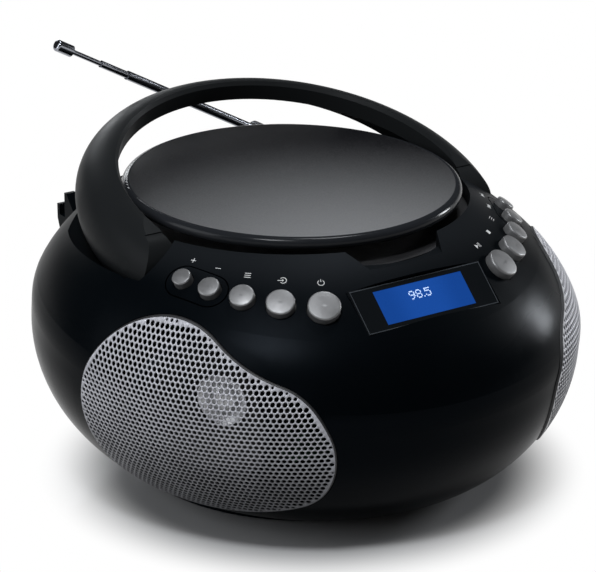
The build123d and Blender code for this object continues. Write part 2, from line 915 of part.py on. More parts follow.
def key_bridge(side):
    """A strip under the button ring, on two legs: one to the shell and one to the island."""
    start = button_angle(0) - bridge_margin
    end = button_angle(last_button) + bridge_margin
    with BuildPart() as bridge:
        with BuildSketch(radial_section(start if side > 0 else -end)):
            with Locations(ring_seat()):
                with Locations((0, -bridge_top - bridge_thickness / 2)):
                    Rectangle(bridge_width, bridge_thickness)
        revolve(axis=axis_of(body_plane), revolution_arc=end - start)
        add(bridge_leg_solid(side, 0, wall))
        add(bridge_leg_solid(side, last_button - 1, wall + island_lip))
    return bridge.part


sides = {"left": -1, "right": 1}
ring = [(-1, name, index) for index, name in enumerate(left_buttons)]
ring += [(1, name, index) for index, name in enumerate(right_buttons)]

for side, name, index in ring:
    with BuildPart() as button:
        add(button_solid(ring_plane(side * button_angle(index)), button_diameter(index) / 2))
    finish(button.part, name)

for side, name in ((-1, "volume_island"), (1, "tuning_island")):
    with BuildPart() as island:
        add(skin_patch(island_outline(side, 0), -wall - island_lip, 0))
        add(skin_patch(island_outline(side, island_gap + island_lip), -wall - island_lip, -wall))
        for index in (last_button - 1, last_button):
            hole = button_diameter(index) / 2 + button_gap
            add(rod(ring_plane(side * button_angle(index)), hole, -3 * wall, 2 * wall), mode=Mode.SUBTRACT)
        neighbour = ring_plane(side * button_angle(last_button - 2))
        clear = button_diameter(last_button - 2) / 2 + button_flange + button_gap
        add(rod(neighbour, clear, -3 * wall, 2 * wall), mode=Mode.SUBTRACT)
    finish(island.part, name)

for side_name, side in sides.items():
    with BuildPart() as bridge:
        add(key_bridge(side))
    finish(bridge.part, side_name + "_key_bridge")

with BuildPart() as key_switches:
    for side, name, index in ring:
        add(
            block(ring_plane(side * button_angle(index)), switch_size, switch_size, -bridge_top, -switch_top)
        )
finish(key_switches.part, "key_switches")


# Grilles and speakers

basket_end = speaker_front - basket_depth
magnet_end = basket_end - magnet_height
cone_edge = speaker_front - cone_sink
cone_throat = cone_edge - cone_depth


def speaker_frame(base):
    flange_back = speaker_front - speaker_flange
    with BuildPart() as frame:
        with BuildSketch(half_section(base)):
            with BuildLine():
                Polyline(
                    (speaker_opening, speaker_front),
                    (speaker_radius, speaker_front),
                    (speaker_radius, flange_back),
                    (basket_front, flange_back),
                    (basket_back, basket_end),
                    (coil_radius + 2 * coil_gap, basket_end),
                    (coil_radius + 2 * coil_gap, basket_end + basket_wall),
                    (basket_back - basket_wall, basket_end + basket_wall),
                    (speaker_opening, flange_back),
                    close=True,
                )
            make_face()
        revolve(axis=axis_of(base))
        window_low = basket_end + (basket_depth - speaker_flange - basket_window_height) / 2
        for turn_by in (0, 90):
            across = plane_on(base, (0, 0, 0), across=(cos(radians(turn_by)), sin(radians(turn_by)), 0))
            add(
                block(
                    across, 2 * speaker_radius, basket_window,
                    window_low, window_low + basket_window_height,
                ),
                mode=Mode.SUBTRACT,
            )
    return frame.part


def speaker_magnet(base):
    with BuildPart() as magnet:
        add(rod(base, magnet_radius, magnet_end, basket_end))
        with BuildSketch(base.offset(basket_end - coil_depth)):
            Circle(coil_radius + coil_gap)
            Circle(coil_radius - coil_wall - coil_gap, mode=Mode.SUBTRACT)
        extrude(amount=coil_depth, mode=Mode.SUBTRACT)
    return magnet.part


def speaker_cone(base):
    """Cone, dust cap and the coil's tube, in one."""
    inner = coil_radius - coil_wall
    coil_end = basket_end - coil_reach
    with BuildPart() as cone:
        with BuildSketch(half_section(base)):
            with BuildLine():
                Polyline(
                    (0, cone_throat + dust_cap_height),
                    (0, cone_throat + dust_cap_height + cone_wall),
                )
                TangentArc(
                    (0, cone_throat + dust_cap_height + cone_wall),
                    (coil_radius, cone_throat + cone_wall),
                    tangent=(1, 0),
                )
                Polyline(
                    (coil_radius, cone_throat + cone_wall),
                    (cone_radius, cone_edge + cone_wall),
                    (cone_radius, cone_edge),
                    (coil_radius, cone_throat),
                    (coil_radius, coil_end),
                    (inner, coil_end),
                    (inner, cone_throat),
                )
                TangentArc((0, cone_throat + dust_cap_height), (inner, cone_throat), tangent=(1, 0))
            make_face()
        revolve(axis=axis_of(base))
    return cone.part


for side_name, side in sides.items():
    base = speaker_plane(side)
    with BuildPart() as grille:
        add(skin_patch(grille_outline(side, 0), grille_proud - grille_thickness, grille_proud))
    finish(grille.part, side_name + "_grille")
    with BuildPart() as frame:
        add(speaker_frame(base))
    finish(frame.part, side_name + "_speaker_frame")
    with BuildPart() as magnet:
        add(speaker_magnet(base))
    finish(magnet.part, side_name + "_speaker_magnet")
    with BuildPart() as cone:
        add(speaker_cone(base))
    finish(cone.part, side_name + "_speaker_cone")


# Disc well and lid

def hinge_plane(reach):
    """Plane across the lid's hinge line."""
    return plane_on(lid_plane, (reach, hinge_setback, -hinge_drop), facing=(1, 0, 0), across=(0, 1, 0))


def hinge_knuckle(start, stem_width, stem_reach):
    """A round knuckle on the hinge line with a straight stem, down or up."""
    with BuildPart() as knuckle:
        with BuildSketch(hinge_plane(start)):
            Circle(knuckle_radius)
            with Locations((0, stem_reach / 2)):
                Rectangle(stem_width, abs(stem_reach))
        extrude(amount=knuckle_width)
    return knuckle.part


ledge_top = ledge_height + well_floor
well_rim = ledge_top + disc_recess
lug_start = hinge_reach
ear_start = hinge_reach + knuckle_width + side_gap
pin_start = hinge_reach - side_gap
pin_finish = ear_start + knuckle_width + side_gap

chassis_top = -chassis_drop
chassis_low = chassis_top - chassis_thickness
damper_reach = chassis_length / 2 - damper_inset
damper_side = chassis_width / 2 - damper_inset
damper_spots = [(chassis_shift + x * damper_reach, y * damper_side) for x in (-1, 1) for y in (-1, 1)]
slot_middle = [(slot_start + slot_length / 2, 0)]

with BuildPart() as disc_well:
    add(rod(lid_plane, well_radius - well_fit, ledge_height, well_rim))
    add(rod(lid_plane, disc_radius + disc_room, ledge_top, 0), mode=Mode.SUBTRACT)
    add(rod(lid_plane, spindle_hole, ledge_height, 0), mode=Mode.SUBTRACT)
    add(block(lid_plane, slot_length, slot_width, ledge_height, 0, slot_middle), mode=Mode.SUBTRACT)
    for start in (ear_start, -ear_start - knuckle_width):
        add(hinge_knuckle(start, ear_width, ledge_top + hinge_drop))
    add(rod(hinge_plane(0), hinge_pin_radius, -pin_finish, pin_finish), mode=Mode.SUBTRACT)
    add(rod(lid_plane, damper_bore - damper_peg_gap, chassis_top, ledge_height, damper_spots))
finish(disc_well.part, "disc_well")

with BuildPart() as lid_hinge_pins:
    for start in (pin_start, -pin_finish):
        add(rod(hinge_plane(0), hinge_pin_radius, start, start + pin_finish - pin_start))
finish(lid_hinge_pins.part, "lid_hinge_pins")

with BuildPart() as cd_lid:
    with BuildSketch(half_section(lid_plane)):
        with BuildLine():
            edge = lid_thickness / 2
            rim_inner = lid_radius - lid_rim_width
            TangentArc((0, lid_crown), (lid_radius - edge, 0), tangent=(1, 0))
            ThreePointArc((lid_radius - edge, 0), (lid_radius, -edge), (lid_radius - edge, -lid_thickness))
            Polyline(
                (lid_radius - edge, -lid_thickness),
                (rim_inner, -lid_thickness),
                (rim_inner, -liner_drop),
                (rim_inner - liner_step, -liner_drop),
                (rim_inner - liner_step, -lid_skin),
                (0, -lid_skin),
                (0, lid_crown),
            )
        make_face()
    revolve(axis=axis_of(lid_plane))
    for start in (ear_start, -ear_start - knuckle_width):
        room = knuckle_radius + knuckle_room
        add(rod(hinge_plane(start), room, -side_gap, knuckle_width + 2 * side_gap), mode=Mode.SUBTRACT)
    for start in (lug_start, -lug_start - knuckle_width):
        add(hinge_knuckle(start, 2 * knuckle_radius, hinge_drop - lid_skin))
    bore = hinge_pin_radius + running_fit
    add(rod(hinge_plane(0), bore, -pin_finish, pin_finish), mode=Mode.SUBTRACT)
finish(cd_lid.part, "cd_lid")

liner_low = -liner_drop - liner_thickness
clamp_face = clamp_lift - turntable_top
flange_face = liner_gap - liner_drop

with BuildPart() as lid_liner:
    add(rod(lid_plane, rim_inner - liner_gap, liner_low, -liner_drop))
    add(rod(lid_plane, clamp_radius + clamp_gap, liner_low, 0), mode=Mode.SUBTRACT)
    notch_low = lug_start - 2 * side_gap
    notch_high = pin_finish + side_gap
    notch_front = hinge_setback - knuckle_radius - knuckle_room
    notch_middle = (notch_low + notch_high) / 2
    notch_back = (notch_front + lid_radius) / 2
    add(
        block(
            lid_plane, notch_high - notch_low, lid_radius - notch_front, liner_low, 0,
            [(notch_middle, notch_back), (-notch_middle, notch_back)],
        ),
        mode=Mode.SUBTRACT,
    )
finish(lid_liner.part, "lid_liner")

with BuildPart() as disc_clamp:
    add(rod(lid_plane, clamp_radius, clamp_face, flange_face))
    add(rod(lid_plane, clamp_radius + clamp_flange, flange_face, flange_face + clamp_flange_thickness))
finish(disc_clamp.part, "disc_clamp")


# Disc drive, hung under the well

def across_lid(at):
    """Plane facing right at a point of the lid's plane."""
    return plane_on(lid_plane, at, facing=(1, 0, 0), across=(0, 1, 0))


turntable_low = -turntable_top - turntable_thickness
motor_low = chassis_low - motor_height
spindle_low = motor_low + motor_height / 2
rail_height = chassis_low - rail_drop
sled_low = rail_height - sled_height / 2
sled_top = rail_height + sled_height / 2
neck_top = sled_top + sled_neck_height
rail_start = sled_place - sled_length / 2 - rail_margin
rail_finish = rail_start + sled_length + sled_travel + 2 * rail_margin
rail_ends = [
    (x, y * rail_spacing / 2)
    for x in (rail_start - rail_end / 2, rail_finish + rail_end / 2)
    for y in (-1, 1)
]
rail_sides = (-rail_spacing / 2, rail_spacing / 2)
gear_tip = gear_pitch_radius + gear_addendum
gear_spot = (gear_place, sled_width / 2 + gear_gap + gear_tip)
gear_low = rail_height - gear_thickness / 2
sled_motor_spot = (gear_place + gear_tip + sled_motor_radius + 2 * gear_gap, sled_motor_back)

with BuildPart() as turntable:
    add(rod(lid_plane, turntable_radius, turntable_low, -turntable_top))
    add(rod(lid_plane, hub_radius, -turntable_top, hub_height - turntable_top))
    add(rod(lid_plane, spindle_radius, spindle_low, turntable_low))
finish(turntable.part, "turntable")

with BuildPart() as spindle_motor:
    add(rod(lid_plane, motor_radius, motor_low, chassis_low))
    add(rod(lid_plane, motor_boss_radius, chassis_low, turntable_low - motor_boss_gap))
    add(rod(lid_plane, spindle_radius + running_fit, spindle_low - gear_gap, 0), mode=Mode.SUBTRACT)
finish(spindle_motor.part, "spindle_motor")

with BuildPart() as drive_chassis:
    add(block(lid_plane, chassis_length, chassis_width, chassis_low, chassis_top, [(chassis_shift, 0)]))
    add(block(lid_plane, rail_end, 2 * rail_end, sled_low, chassis_low, rail_ends))
    add(rod(lid_plane, motor_boss_radius, chassis_low, chassis_top), mode=Mode.SUBTRACT)
    add(rod(lid_plane, damper_bore, chassis_low, chassis_top, damper_spots), mode=Mode.SUBTRACT)
    add(
        rod(lid_plane, gear_shaft_radius + running_fit, chassis_low, chassis_top, [gear_spot]),
        mode=Mode.SUBTRACT,
    )
    add(
        block(lid_plane, slot_length, slot_width, chassis_low, chassis_top, slot_middle),
        mode=Mode.SUBTRACT,
    )
    for side_y in rail_sides:
        rail_line = across_lid((0, side_y, rail_height))
        add(rod(rail_line, rail_radius, rail_start - rail_end, rail_finish + rail_end), mode=Mode.SUBTRACT)
finish(drive_chassis.part, "drive_chassis")

with BuildPart() as drive_dampers:
    add(rod(lid_plane, damper_radius, chassis_top, ledge_height, damper_spots))
    add(
        rod(lid_plane, damper_bore - damper_peg_gap, chassis_top, ledge_height, damper_spots),
        mode=Mode.SUBTRACT,
    )
finish(drive_dampers.part, "drive_dampers")

with BuildPart() as sled_rails:
    for side_y in rail_sides:
        rail_line = across_lid((0, side_y, rail_height))
        add(rod(rail_line, rail_radius, rail_start - rail_end, rail_finish + rail_end))
finish(sled_rails.part, "sled_rails")

with BuildPart() as laser_sled:
    add(block(lid_plane, sled_length, sled_width, sled_low, sled_top, [(sled_place, 0)]))
    add(block(lid_plane, sled_neck, sled_neck, sled_top, neck_top, [(sled_place, 0)]))
    for side_y in rail_sides:
        rail_line = across_lid((0, side_y, rail_height))
        add(rod(rail_line, rail_radius + running_fit, rail_start, rail_finish), mode=Mode.SUBTRACT)
    rack_pitch = 2 * pi * gear_pitch_radius / gear_teeth
    rack_count = int(sled_length / rack_pitch)
    rack_places = [
        (sled_place + (step - (rack_count - 1) / 2) * rack_pitch, sled_width / 2 - rack_depth / 2)
        for step in range(rack_count)
    ]
    add(block(lid_plane, rack_pitch / 2, rack_depth, sled_low, sled_top, rack_places), mode=Mode.SUBTRACT)
finish(laser_sled.part, "laser_sled")

with BuildPart() as laser_lens:
    add(rod(lid_plane, lens_radius, neck_top, neck_top + lens_height, [(sled_place, 0)]))
    fillet(laser_lens.faces().sort_by(axis_of(lid_plane))[-1].edges(), radius=lens_height / 2)
finish(laser_lens.part, "laser_lens")

with BuildPart() as sled_gear:
    root_radius = gear_pitch_radius - gear_dedendum
    add(rod(lid_plane, root_radius, gear_low, gear_low + gear_thickness, [gear_spot]))
    with BuildSketch(lid_plane.offset(gear_low)):
        with Locations(gear_spot):
            with PolarLocations((root_radius + gear_tip) / 2 - gear_addendum / 4, gear_teeth):
                Rectangle(gear_tip - root_radius + gear_addendum / 2, gear_tooth_width)
    extrude(amount=gear_thickness)
    add(rod(lid_plane, gear_shaft_radius, gear_low + gear_thickness, chassis_top + gear_gap, [gear_spot]))
finish(sled_gear.part, "sled_gear")

with BuildPart() as sled_motor:
    add(rod(lid_plane, sled_motor_radius, chassis_low - sled_motor_length, chassis_low, [sled_motor_spot]))
finish(sled_motor.part, "sled_motor")


# Battery tray, door and contacts

with BuildPart() as battery_tray:
    outer_width = battery_width + 2 * tray_wall
    outer_length = battery_length + 2 * tray_wall
    add(block(Plane.XY, outer_width, outer_length, floor_top, tray_top, tray_middle))
    add(
        block(Plane.XY, battery_width, battery_length, floor_top, tray_ceiling, tray_middle),
        mode=Mode.SUBTRACT,
    )
    add(rod(door_hinge, door_pin_radius + running_fit, -pin_end, pin_end), mode=Mode.SUBTRACT)
finish(battery_tray.part, "battery_tray")

with BuildPart() as battery_door:
    grip_width, grip_length, grip_depth = door_grip
    door_front = door_hinge.origin.Y
    door_back = battery_front + battery_length - door_gap
    door_length = door_back - door_front
    add(
        block(
            Plane.XY, 2 * door_reach, door_length,
            foot_height, floor_top, [(0, door_front + door_length / 2)],
        )
    )
    add(rod(door_hinge, door_knuckle_radius, -door_reach, door_reach))
    add(rod(door_hinge, door_pin_radius, -door_reach - door_pin_length, door_reach + door_pin_length))
    grip_place = [(0, door_back - 2 * grip_length)]
    add(
        block(Plane.XY, grip_width, grip_length, foot_height, foot_height + grip_depth, grip_place),
        mode=Mode.SUBTRACT,
    )
finish(battery_door.part, "battery_door")


def contact_leaf(wall_plane, across):
    """A strip bent out from a contact plate, which presses on a cell."""
    start = plane_on(wall_plane, (across - leaf_width / 2, 0, contact_thickness), (1, 0, 0), (0, 1, 0))
    with BuildPart() as leaf:
        with BuildSketch(start):
            with BuildLine():
                Polyline(
                    (-leaf_height / 2, 0),
                    (0, leaf_reach),
                    (leaf_height / 2, 0),
                    (leaf_height / 2 - 2 * contact_thickness, 0),
                    (0, leaf_reach - 2 * contact_thickness),
                    (2 * contact_thickness - leaf_height / 2, 0),
                    close=True,
                )
            make_face()
        extrude(amount=leaf_width)
    return leaf.part


with BuildPart() as battery_contacts:
    row = battery_length / 4
    contact_middle = (floor_top + tray_ceiling) / 2
    for side in (-1, 1):
        wall_plane = Plane(
            origin=(side * battery_width / 2, tray_middle[0][1], contact_middle),
            x_dir=(0, side, 0),
            z_dir=(-side, 0, 0),
        )
        add(block(wall_plane, contact_width, contact_height, 0, contact_thickness, [(-row, 0), (row, 0)]))
        add(contact_leaf(wall_plane, row))
finish(battery_contacts.part, "battery_contacts")


# Boards, and the sockets at the back

board_middle = [(0, (main_board_front + main_board_back) / 2)]

with BuildPart() as main_board:
    board_length = main_board_back - main_board_front
    board_top = tray_top + board_thickness
    add(block(Plane.XY, main_board_width, board_length, tray_top, board_top, board_middle))
    add(block(Plane.XY, *chip_size, board_top, board_top + chip_height, chip_spots))
    add(rod(Plane.XY, can_radius, board_top, board_top + can_height, can_spots))
finish(main_board.part, "main_board")

with BuildPart() as power_board:
    board_face = -socket_depth - board_thickness
    add(
        block(
            rear_panel, power_board_width, power_board_height,
            board_face, -socket_depth, [(0, power_board_lift)],
        )
    )
    add(block(rear_panel, *transformer_size, board_face - transformer_height, board_face,
        [(-transformer_left, power_board_lift)]))
    add(rod(rear_panel, big_can_radius, board_face - big_can_height, board_face, big_can_spots))
finish(power_board.part, "power_board")

with BuildPart() as mains_inlet:
    lobes = [(-inlet_right + side * inlet_lobe_spacing / 2, 0) for side in (-1, 1)]
    lip_width = inlet_width + 2 * inlet_border
    lip_height = inlet_height + 2 * inlet_border
    add(block(rear_panel, inlet_width, inlet_height, -socket_depth, 0, inlet_place))
    add(block(rear_panel, lip_width, lip_height, 0, inlet_lip, inlet_place))
    recess_low = inlet_lip - inlet_recess
    add(rod(rear_panel, inlet_lobe_radius, recess_low, inlet_lip, lobes), mode=Mode.SUBTRACT)
    add(
        block(rear_panel, inlet_lobe_spacing, inlet_lobe_radius, recess_low, inlet_lip, inlet_place),
        mode=Mode.SUBTRACT,
    )
    add(rod(rear_panel, inlet_pin_radius, recess_low, recess_low + inlet_pin_length, lobes))
finish(mains_inlet.part, "mains_inlet")

with BuildPart() as audio_jacks:
    add(block(rear_panel, jack_block, jack_block, -socket_depth, -wall, jack_places))
    add(rod(rear_panel, jack_radius + jack_collar, -wall, jack_lip, jack_places))
    add(rod(rear_panel, jack_radius, jack_lip - jack_recess, jack_lip, jack_places), mode=Mode.SUBTRACT)
finish(audio_jacks.part, "audio_jacks")


# Antenna

antenna_base = Plane(origin=(antenna_right, antenna_back, antenna_height), x_dir=(1, 0, 0), z_dir=(0, 0, 1))
rise = radians(antenna_rise)
antenna_line = Plane(origin=antenna_base.origin, x_dir=(0, 1, 0), z_dir=(-cos(rise), 0, sin(rise)))
antenna_pin_line = Plane(origin=antenna_base.origin, x_dir=(1, 0, 0), z_dir=(0, -1, 0))
fork_half = antenna_blade / 2 + blade_gap
fork_floor = -antenna_knuckle_radius - blade_gap

tube_spans = []
span_end = tube_start
for length, shown in zip(tube_lengths, tube_shown):
    span_end = span_end + shown if tube_spans else tube_start + length
    tube_spans.append((span_end - length, span_end))

with BuildPart() as antenna_mount:
    inward = Plane(
        origin=(antenna_right, antenna_back, antenna_height),
        x_dir=(-antenna_right, -antenna_back, 0),
        z_dir=(0, 0, 1),
    )
    mount_low = -swivel_drop - mount_height
    add(rod(inward, mount_radius, mount_low, -swivel_drop))
    add(block(inward, mount_web, 2 * mount_radius, mount_low, -swivel_drop, [(mount_web / 2, 0)]))
    spigot_low = -swivel_drop - spigot_length
    add(rod(inward, spigot_radius + running_fit, spigot_low - spigot_gap, 0), mode=Mode.SUBTRACT)
    add(body_solid(0), mode=Mode.SUBTRACT)
finish(antenna_mount.part, "antenna_mount")

with BuildPart() as antenna_swivel:
    add(rod(antenna_base, swivel_radius, -swivel_drop, fork_floor))
    add(rod(antenna_base, spigot_radius, spigot_low, -swivel_drop))
    with BuildSketch(antenna_pin_line.offset(-fork_half - fork_ear)):
        Circle(antenna_knuckle_radius)
        with Locations((0, fork_floor / 2)):
            Rectangle(2 * antenna_knuckle_radius, -fork_floor)
    extrude(amount=2 * (fork_half + fork_ear))
    add(
        block(antenna_base, 3 * antenna_knuckle_radius, 2 * fork_half, fork_floor, swivel_drop),
        mode=Mode.SUBTRACT,
    )
    add(rod(antenna_pin_line, antenna_pin_radius, -fork_half - fork_ear, fork_half + fork_ear))
finish(antenna_swivel.part, "antenna_swivel")


def tube(index):
    """One telescopic tube, closed at its lower end."""
    low, high = tube_spans[index]
    bore = tube_radii[index + 1] + tube_fit
    with BuildPart() as pipe:
        add(rod(antenna_line, tube_radii[index], low, high))
        add(rod(antenna_line, bore, low + tube_plug, high), mode=Mode.SUBTRACT)
    return pipe.part


with BuildPart() as antenna_main:
    add(rod(antenna_pin_line, antenna_knuckle_radius, -antenna_blade / 2, antenna_blade / 2))
    add(block(antenna_line, antenna_blade, 2 * antenna_pin_radius, 0, tube_start + tube_plug / 2))
    add(tube(0))
    half_blade = antenna_blade / 2
    add(
        rod(antenna_pin_line, antenna_pin_radius + running_fit, -half_blade, half_blade),
        mode=Mode.SUBTRACT,
    )
finish(antenna_main.part, "antenna_main")

for index, name in ((1, "antenna_middle"), (2, "antenna_upper")):
    with BuildPart() as section:
        add(tube(index))
    finish(section.part, name)

with BuildPart() as antenna_tip:
    rod_low, rod_high = tube_spans[-1]
    add(rod(antenna_line, tip_radius, rod_high, rod_high + tip_length))
    fillet(antenna_tip.faces().sort_by(axis_of(antenna_line))[-1].edges(), radius=tip_edge)
    add(rod(antenna_line, tube_radii[-1], rod_low, rod_high))
finish(antenna_tip.part, "antenna_tip")

with BuildPart() as antenna_clip:
    clip_front = rest_middle - rest_gap / 2
    clip_back = rest_middle + rest_gap / 2
    with BuildSketch(Plane(origin=(-rest_left - rest_width / 2, 0, 0), x_dir=(0, 1, 0), z_dir=(1, 0, 0))):
        with BuildLine():
            Polyline(
                (clip_front - rest_web, rest_base),
                (clip_back, rest_base),
                (clip_back + rest_prong, rest_floor - rest_prong),
                (clip_back + rest_prong, rest_outer_top),
                (clip_back, rest_outer_top),
                (clip_back, rest_floor),
                (clip_front, rest_floor),
                (clip_front, rest_inner_top),
                (clip_front - rest_prong, rest_inner_top),
                (clip_front - rest_web, rest_floor),
                close=True,
            )
        make_face()
    extrude(amount=rest_width)
    add(body_solid(0), mode=Mode.SUBTRACT)
finish(antenna_clip.part, "antenna_clip")
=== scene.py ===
import bpy
import json
import math
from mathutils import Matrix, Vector
from mathutils.bvhtree import BVHTree
from mathutils.geometry import delaunay_2d_cdt


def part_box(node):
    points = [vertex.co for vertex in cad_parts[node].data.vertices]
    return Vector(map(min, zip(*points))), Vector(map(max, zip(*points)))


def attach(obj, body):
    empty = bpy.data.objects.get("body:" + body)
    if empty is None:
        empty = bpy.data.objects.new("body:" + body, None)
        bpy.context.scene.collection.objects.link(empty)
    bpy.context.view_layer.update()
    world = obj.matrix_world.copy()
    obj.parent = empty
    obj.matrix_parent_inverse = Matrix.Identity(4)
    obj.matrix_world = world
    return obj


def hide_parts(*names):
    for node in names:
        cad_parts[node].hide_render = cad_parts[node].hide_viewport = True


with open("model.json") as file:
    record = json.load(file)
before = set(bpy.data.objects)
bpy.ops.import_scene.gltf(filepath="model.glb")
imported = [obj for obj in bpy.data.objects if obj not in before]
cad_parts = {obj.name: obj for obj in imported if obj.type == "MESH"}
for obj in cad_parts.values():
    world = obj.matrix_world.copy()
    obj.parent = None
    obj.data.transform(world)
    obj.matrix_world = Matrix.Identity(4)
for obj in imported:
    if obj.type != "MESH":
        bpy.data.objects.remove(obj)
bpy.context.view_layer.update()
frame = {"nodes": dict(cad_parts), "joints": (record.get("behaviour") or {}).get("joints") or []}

cad = frame["nodes"]
joints = {joint["name"]: joint for joint in frame["joints"]}
mm = 0.001
up = Vector((0, 0, 1))
rightward = Vector((1, 0, 0))
facingOut = 0.2     # a face looks outwards when its normal agrees with the direction this well
print("frame loaded:", len(cad), "nodes")


# where things are, read from the frame

def middle(node):
    low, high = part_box(node)
    return (low + high) / 2


def axisOf(joint):
    return Vector(joints[joint]["axis"]).normalized()


def placeOf(joint):
    return Vector(joints[joint]["pos_m"])


def surfaceOf(node, outward=None):
    # the faces of a node, or only those that look outwards
    mesh = cad[node].data
    chosen = [p.vertices for p in mesh.polygons if outward is None or p.normal.dot(outward) > facingOut]
    return BVHTree.FromPolygons([v.co for v in mesh.vertices], chosen)


def faceTowards(node, direction):
    # middle of the flat face of a node that looks most nearly in a direction
    facing = [p for p in cad[node].data.polygons if p.normal.dot(direction) > 0.99]
    area = sum(p.area for p in facing)
    return sum((p.center * p.area for p in facing), Vector()) / area


lidAxis = axisOf("turntable_spin")
lidMiddle = placeOf("turntable_spin")


# making pieces

def newPiece(name, points, faces, body, material, smooth=True):
    mesh = bpy.data.meshes.new(name)
    mesh.from_pydata([tuple(p) for p in points], [], faces)
    mesh.validate()
    mesh.polygons.foreach_set("use_smooth", [smooth] * len(mesh.polygons))
    mesh.materials.append(material)
    piece = bpy.data.objects.new(name, mesh)
    bpy.context.scene.collection.objects.link(piece)
    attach(piece, body)
    return piece


def paint(nodes, material):
    for node in nodes:
        mesh = cad[node].data
        mesh.materials.clear()
        mesh.materials.append(material)


# nodes shared by the finishes

def newFinish(name, colour, roughness=0.5, metallic=0.0, specular=0.5):
    material = bpy.data.materials.new(name)
    material.use_nodes = True
    shader = material.node_tree.nodes["Principled BSDF"]
    shader.inputs["Base Color"].default_value = (*colour, 1)
    shader.inputs["Roughness"].default_value = roughness
    shader.inputs["Metallic"].default_value = metallic
    shader.inputs["Specular IOR Level"].default_value = specular
    return material, material.node_tree, shader


def addNode(tree, kind, **values):
    node = tree.nodes.new(kind)
    for key, value in values.items():
        setattr(node, key, value)
    return node


def addMaths(tree, operation, first, second):
    node = addNode(tree, "ShaderNodeMath", operation=operation)
    for socket, value in zip(node.inputs, (first, second)):
        if isinstance(value, (int, float)):
            socket.default_value = value
        else:
            tree.links.new(value, socket)
    return node.outputs[0]


def addNoise(tree, scale, detail=3.0, stretch=(1, 1, 1)):
    place = addNode(tree, "ShaderNodeTexCoord")
    mapping = addNode(tree, "ShaderNodeMapping")
    mapping.inputs["Scale"].default_value = stretch
    noise = addNode(tree, "ShaderNodeTexNoise")
    noise.inputs["Scale"].default_value = scale
    noise.inputs["Detail"].default_value = detail
    tree.links.new(place.outputs["Object"], mapping.inputs["Vector"])
    tree.links.new(mapping.outputs["Vector"], noise.inputs["Vector"])
    return noise.outputs["Fac"]


def addRange(tree, source, fromLow, fromHigh, toLow, toHigh):
    node = addNode(tree, "ShaderNodeMapRange", interpolation_type="SMOOTHSTEP")
    for socket, value in zip(node.inputs[1:5], (fromLow, fromHigh, toLow, toHigh)):
        socket.default_value = value
    tree.links.new(source, node.inputs[0])
    return node.outputs[0]


def addBump(tree, shader, height, strength, distance):
    bump = addNode(tree, "ShaderNodeBump")
    bump.inputs["Strength"].default_value = strength
    bump.inputs["Distance"].default_value = distance
    tree.links.new(height, bump.inputs["Height"])
    tree.links.new(bump.outputs["Normal"], shader.inputs["Normal"])


def addTint(tree, factor, dark, light):
    # the dark end may be a colour or another node's result
    mix = addNode(tree, "ShaderNodeMix", data_type="RGBA")
    if isinstance(dark, tuple):
        mix.inputs["A"].default_value = (*dark, 1)
    else:
        tree.links.new(dark, mix.inputs["A"])
    mix.inputs["B"].default_value = (*light, 1)
    tree.links.new(factor, mix.inputs["Factor"])
    return mix.outputs["Result"]


def addMottle(tree, shader, scale, detail, low, high, span=(0.3, 0.7)):
    # roughness that wanders between two values
    wander = addRange(tree, addNoise(tree, scale, detail), *span, low, high)
    tree.links.new(wander, shader.inputs["Roughness"])


def addCloud(tree, shader, scale, detail, dark, light):
    # colour that wanders between two tints
    tree.links.new(addTint(tree, addNoise(tree, scale, detail), dark, light), shader.inputs["Base Color"])


def addAcross(tree, point, axis):
    # distance from a line through point, along axis
    place = addNode(tree, "ShaderNodeTexCoord")
    offset = addNode(tree, "ShaderNodeVectorMath", operation="SUBTRACT")
    offset.inputs[1].default_value = point
    cross = addNode(tree, "ShaderNodeVectorMath", operation="CROSS_PRODUCT")
    cross.inputs[1].default_value = axis
    length = addNode(tree, "ShaderNodeVectorMath", operation="LENGTH")
    tree.links.new(place.outputs["Object"], offset.inputs[0])
    tree.links.new(offset.outputs[0], cross.inputs[0])
    tree.links.new(cross.outputs[0], length.inputs[0])
    return length.outputs["Value"]


def addAlong(tree, axis):
    # distance along an axis from the origin
    place = addNode(tree, "ShaderNodeTexCoord")
    dot = addNode(tree, "ShaderNodeVectorMath", operation="DOT_PRODUCT")
    dot.inputs[1].default_value = axis
    tree.links.new(place.outputs["Object"], dot.inputs[0])
    return dot.outputs["Value"]


# finishes

shellLook = {
    "colour": (0.001, 0.0016, 0.0022),
    "glossLow": 0.22,     # roughness near the table
    "glossHigh": 0.42,    # and on the deck
    "glossHeight": (0.07, 0.115),   # where the one turns into the other
    # deck: a lighter colour on the deck, a painted sheen standing in for light on its satin top
    "deck": (0.0072, 0.0082, 0.0095),
    "deckSheenHeight": (0.108, 0.121),
    "specular": 0.025,
    "sheen": (0.72, 0.83, 1.0, 1),
}


def shellPlastic():
    look = shellLook
    material, tree, shader = newFinish("shellPlastic", look["colour"], specular=look["specular"])
    height = addRange(tree, addAlong(tree, up), *look["glossHeight"], look["glossLow"], look["glossHigh"])
    cloud = addRange(tree, addNoise(tree, 18, 4), 0.3, 0.7, -0.025, 0.03)
    tree.links.new(addMaths(tree, "ADD", height, cloud), shader.inputs["Roughness"])
    # painted sheen: the base colour turns lighter towards the deck
    paintedDeckSheen = addRange(tree, addAlong(tree, up), *look["deckSheenHeight"], 0, 1)
    speckle = addRange(tree, addNoise(tree, 30, 5), 0.3, 0.7, -0.04, 0.04)
    tint = addTint(tree, addMaths(tree, "ADD", paintedDeckSheen, speckle), look["colour"], look["deck"])
    tree.links.new(tint, shader.inputs["Base Color"])
    addBump(tree, shader, addNoise(tree, 2600, 2), 0.05, 0.0002)
    shader.inputs["Specular Tint"].default_value = look["sheen"]
    return material


handleLook = {"colour": (0.0092, 0.01, 0.0106), "roughness": 0.42, "specular": 0.03}


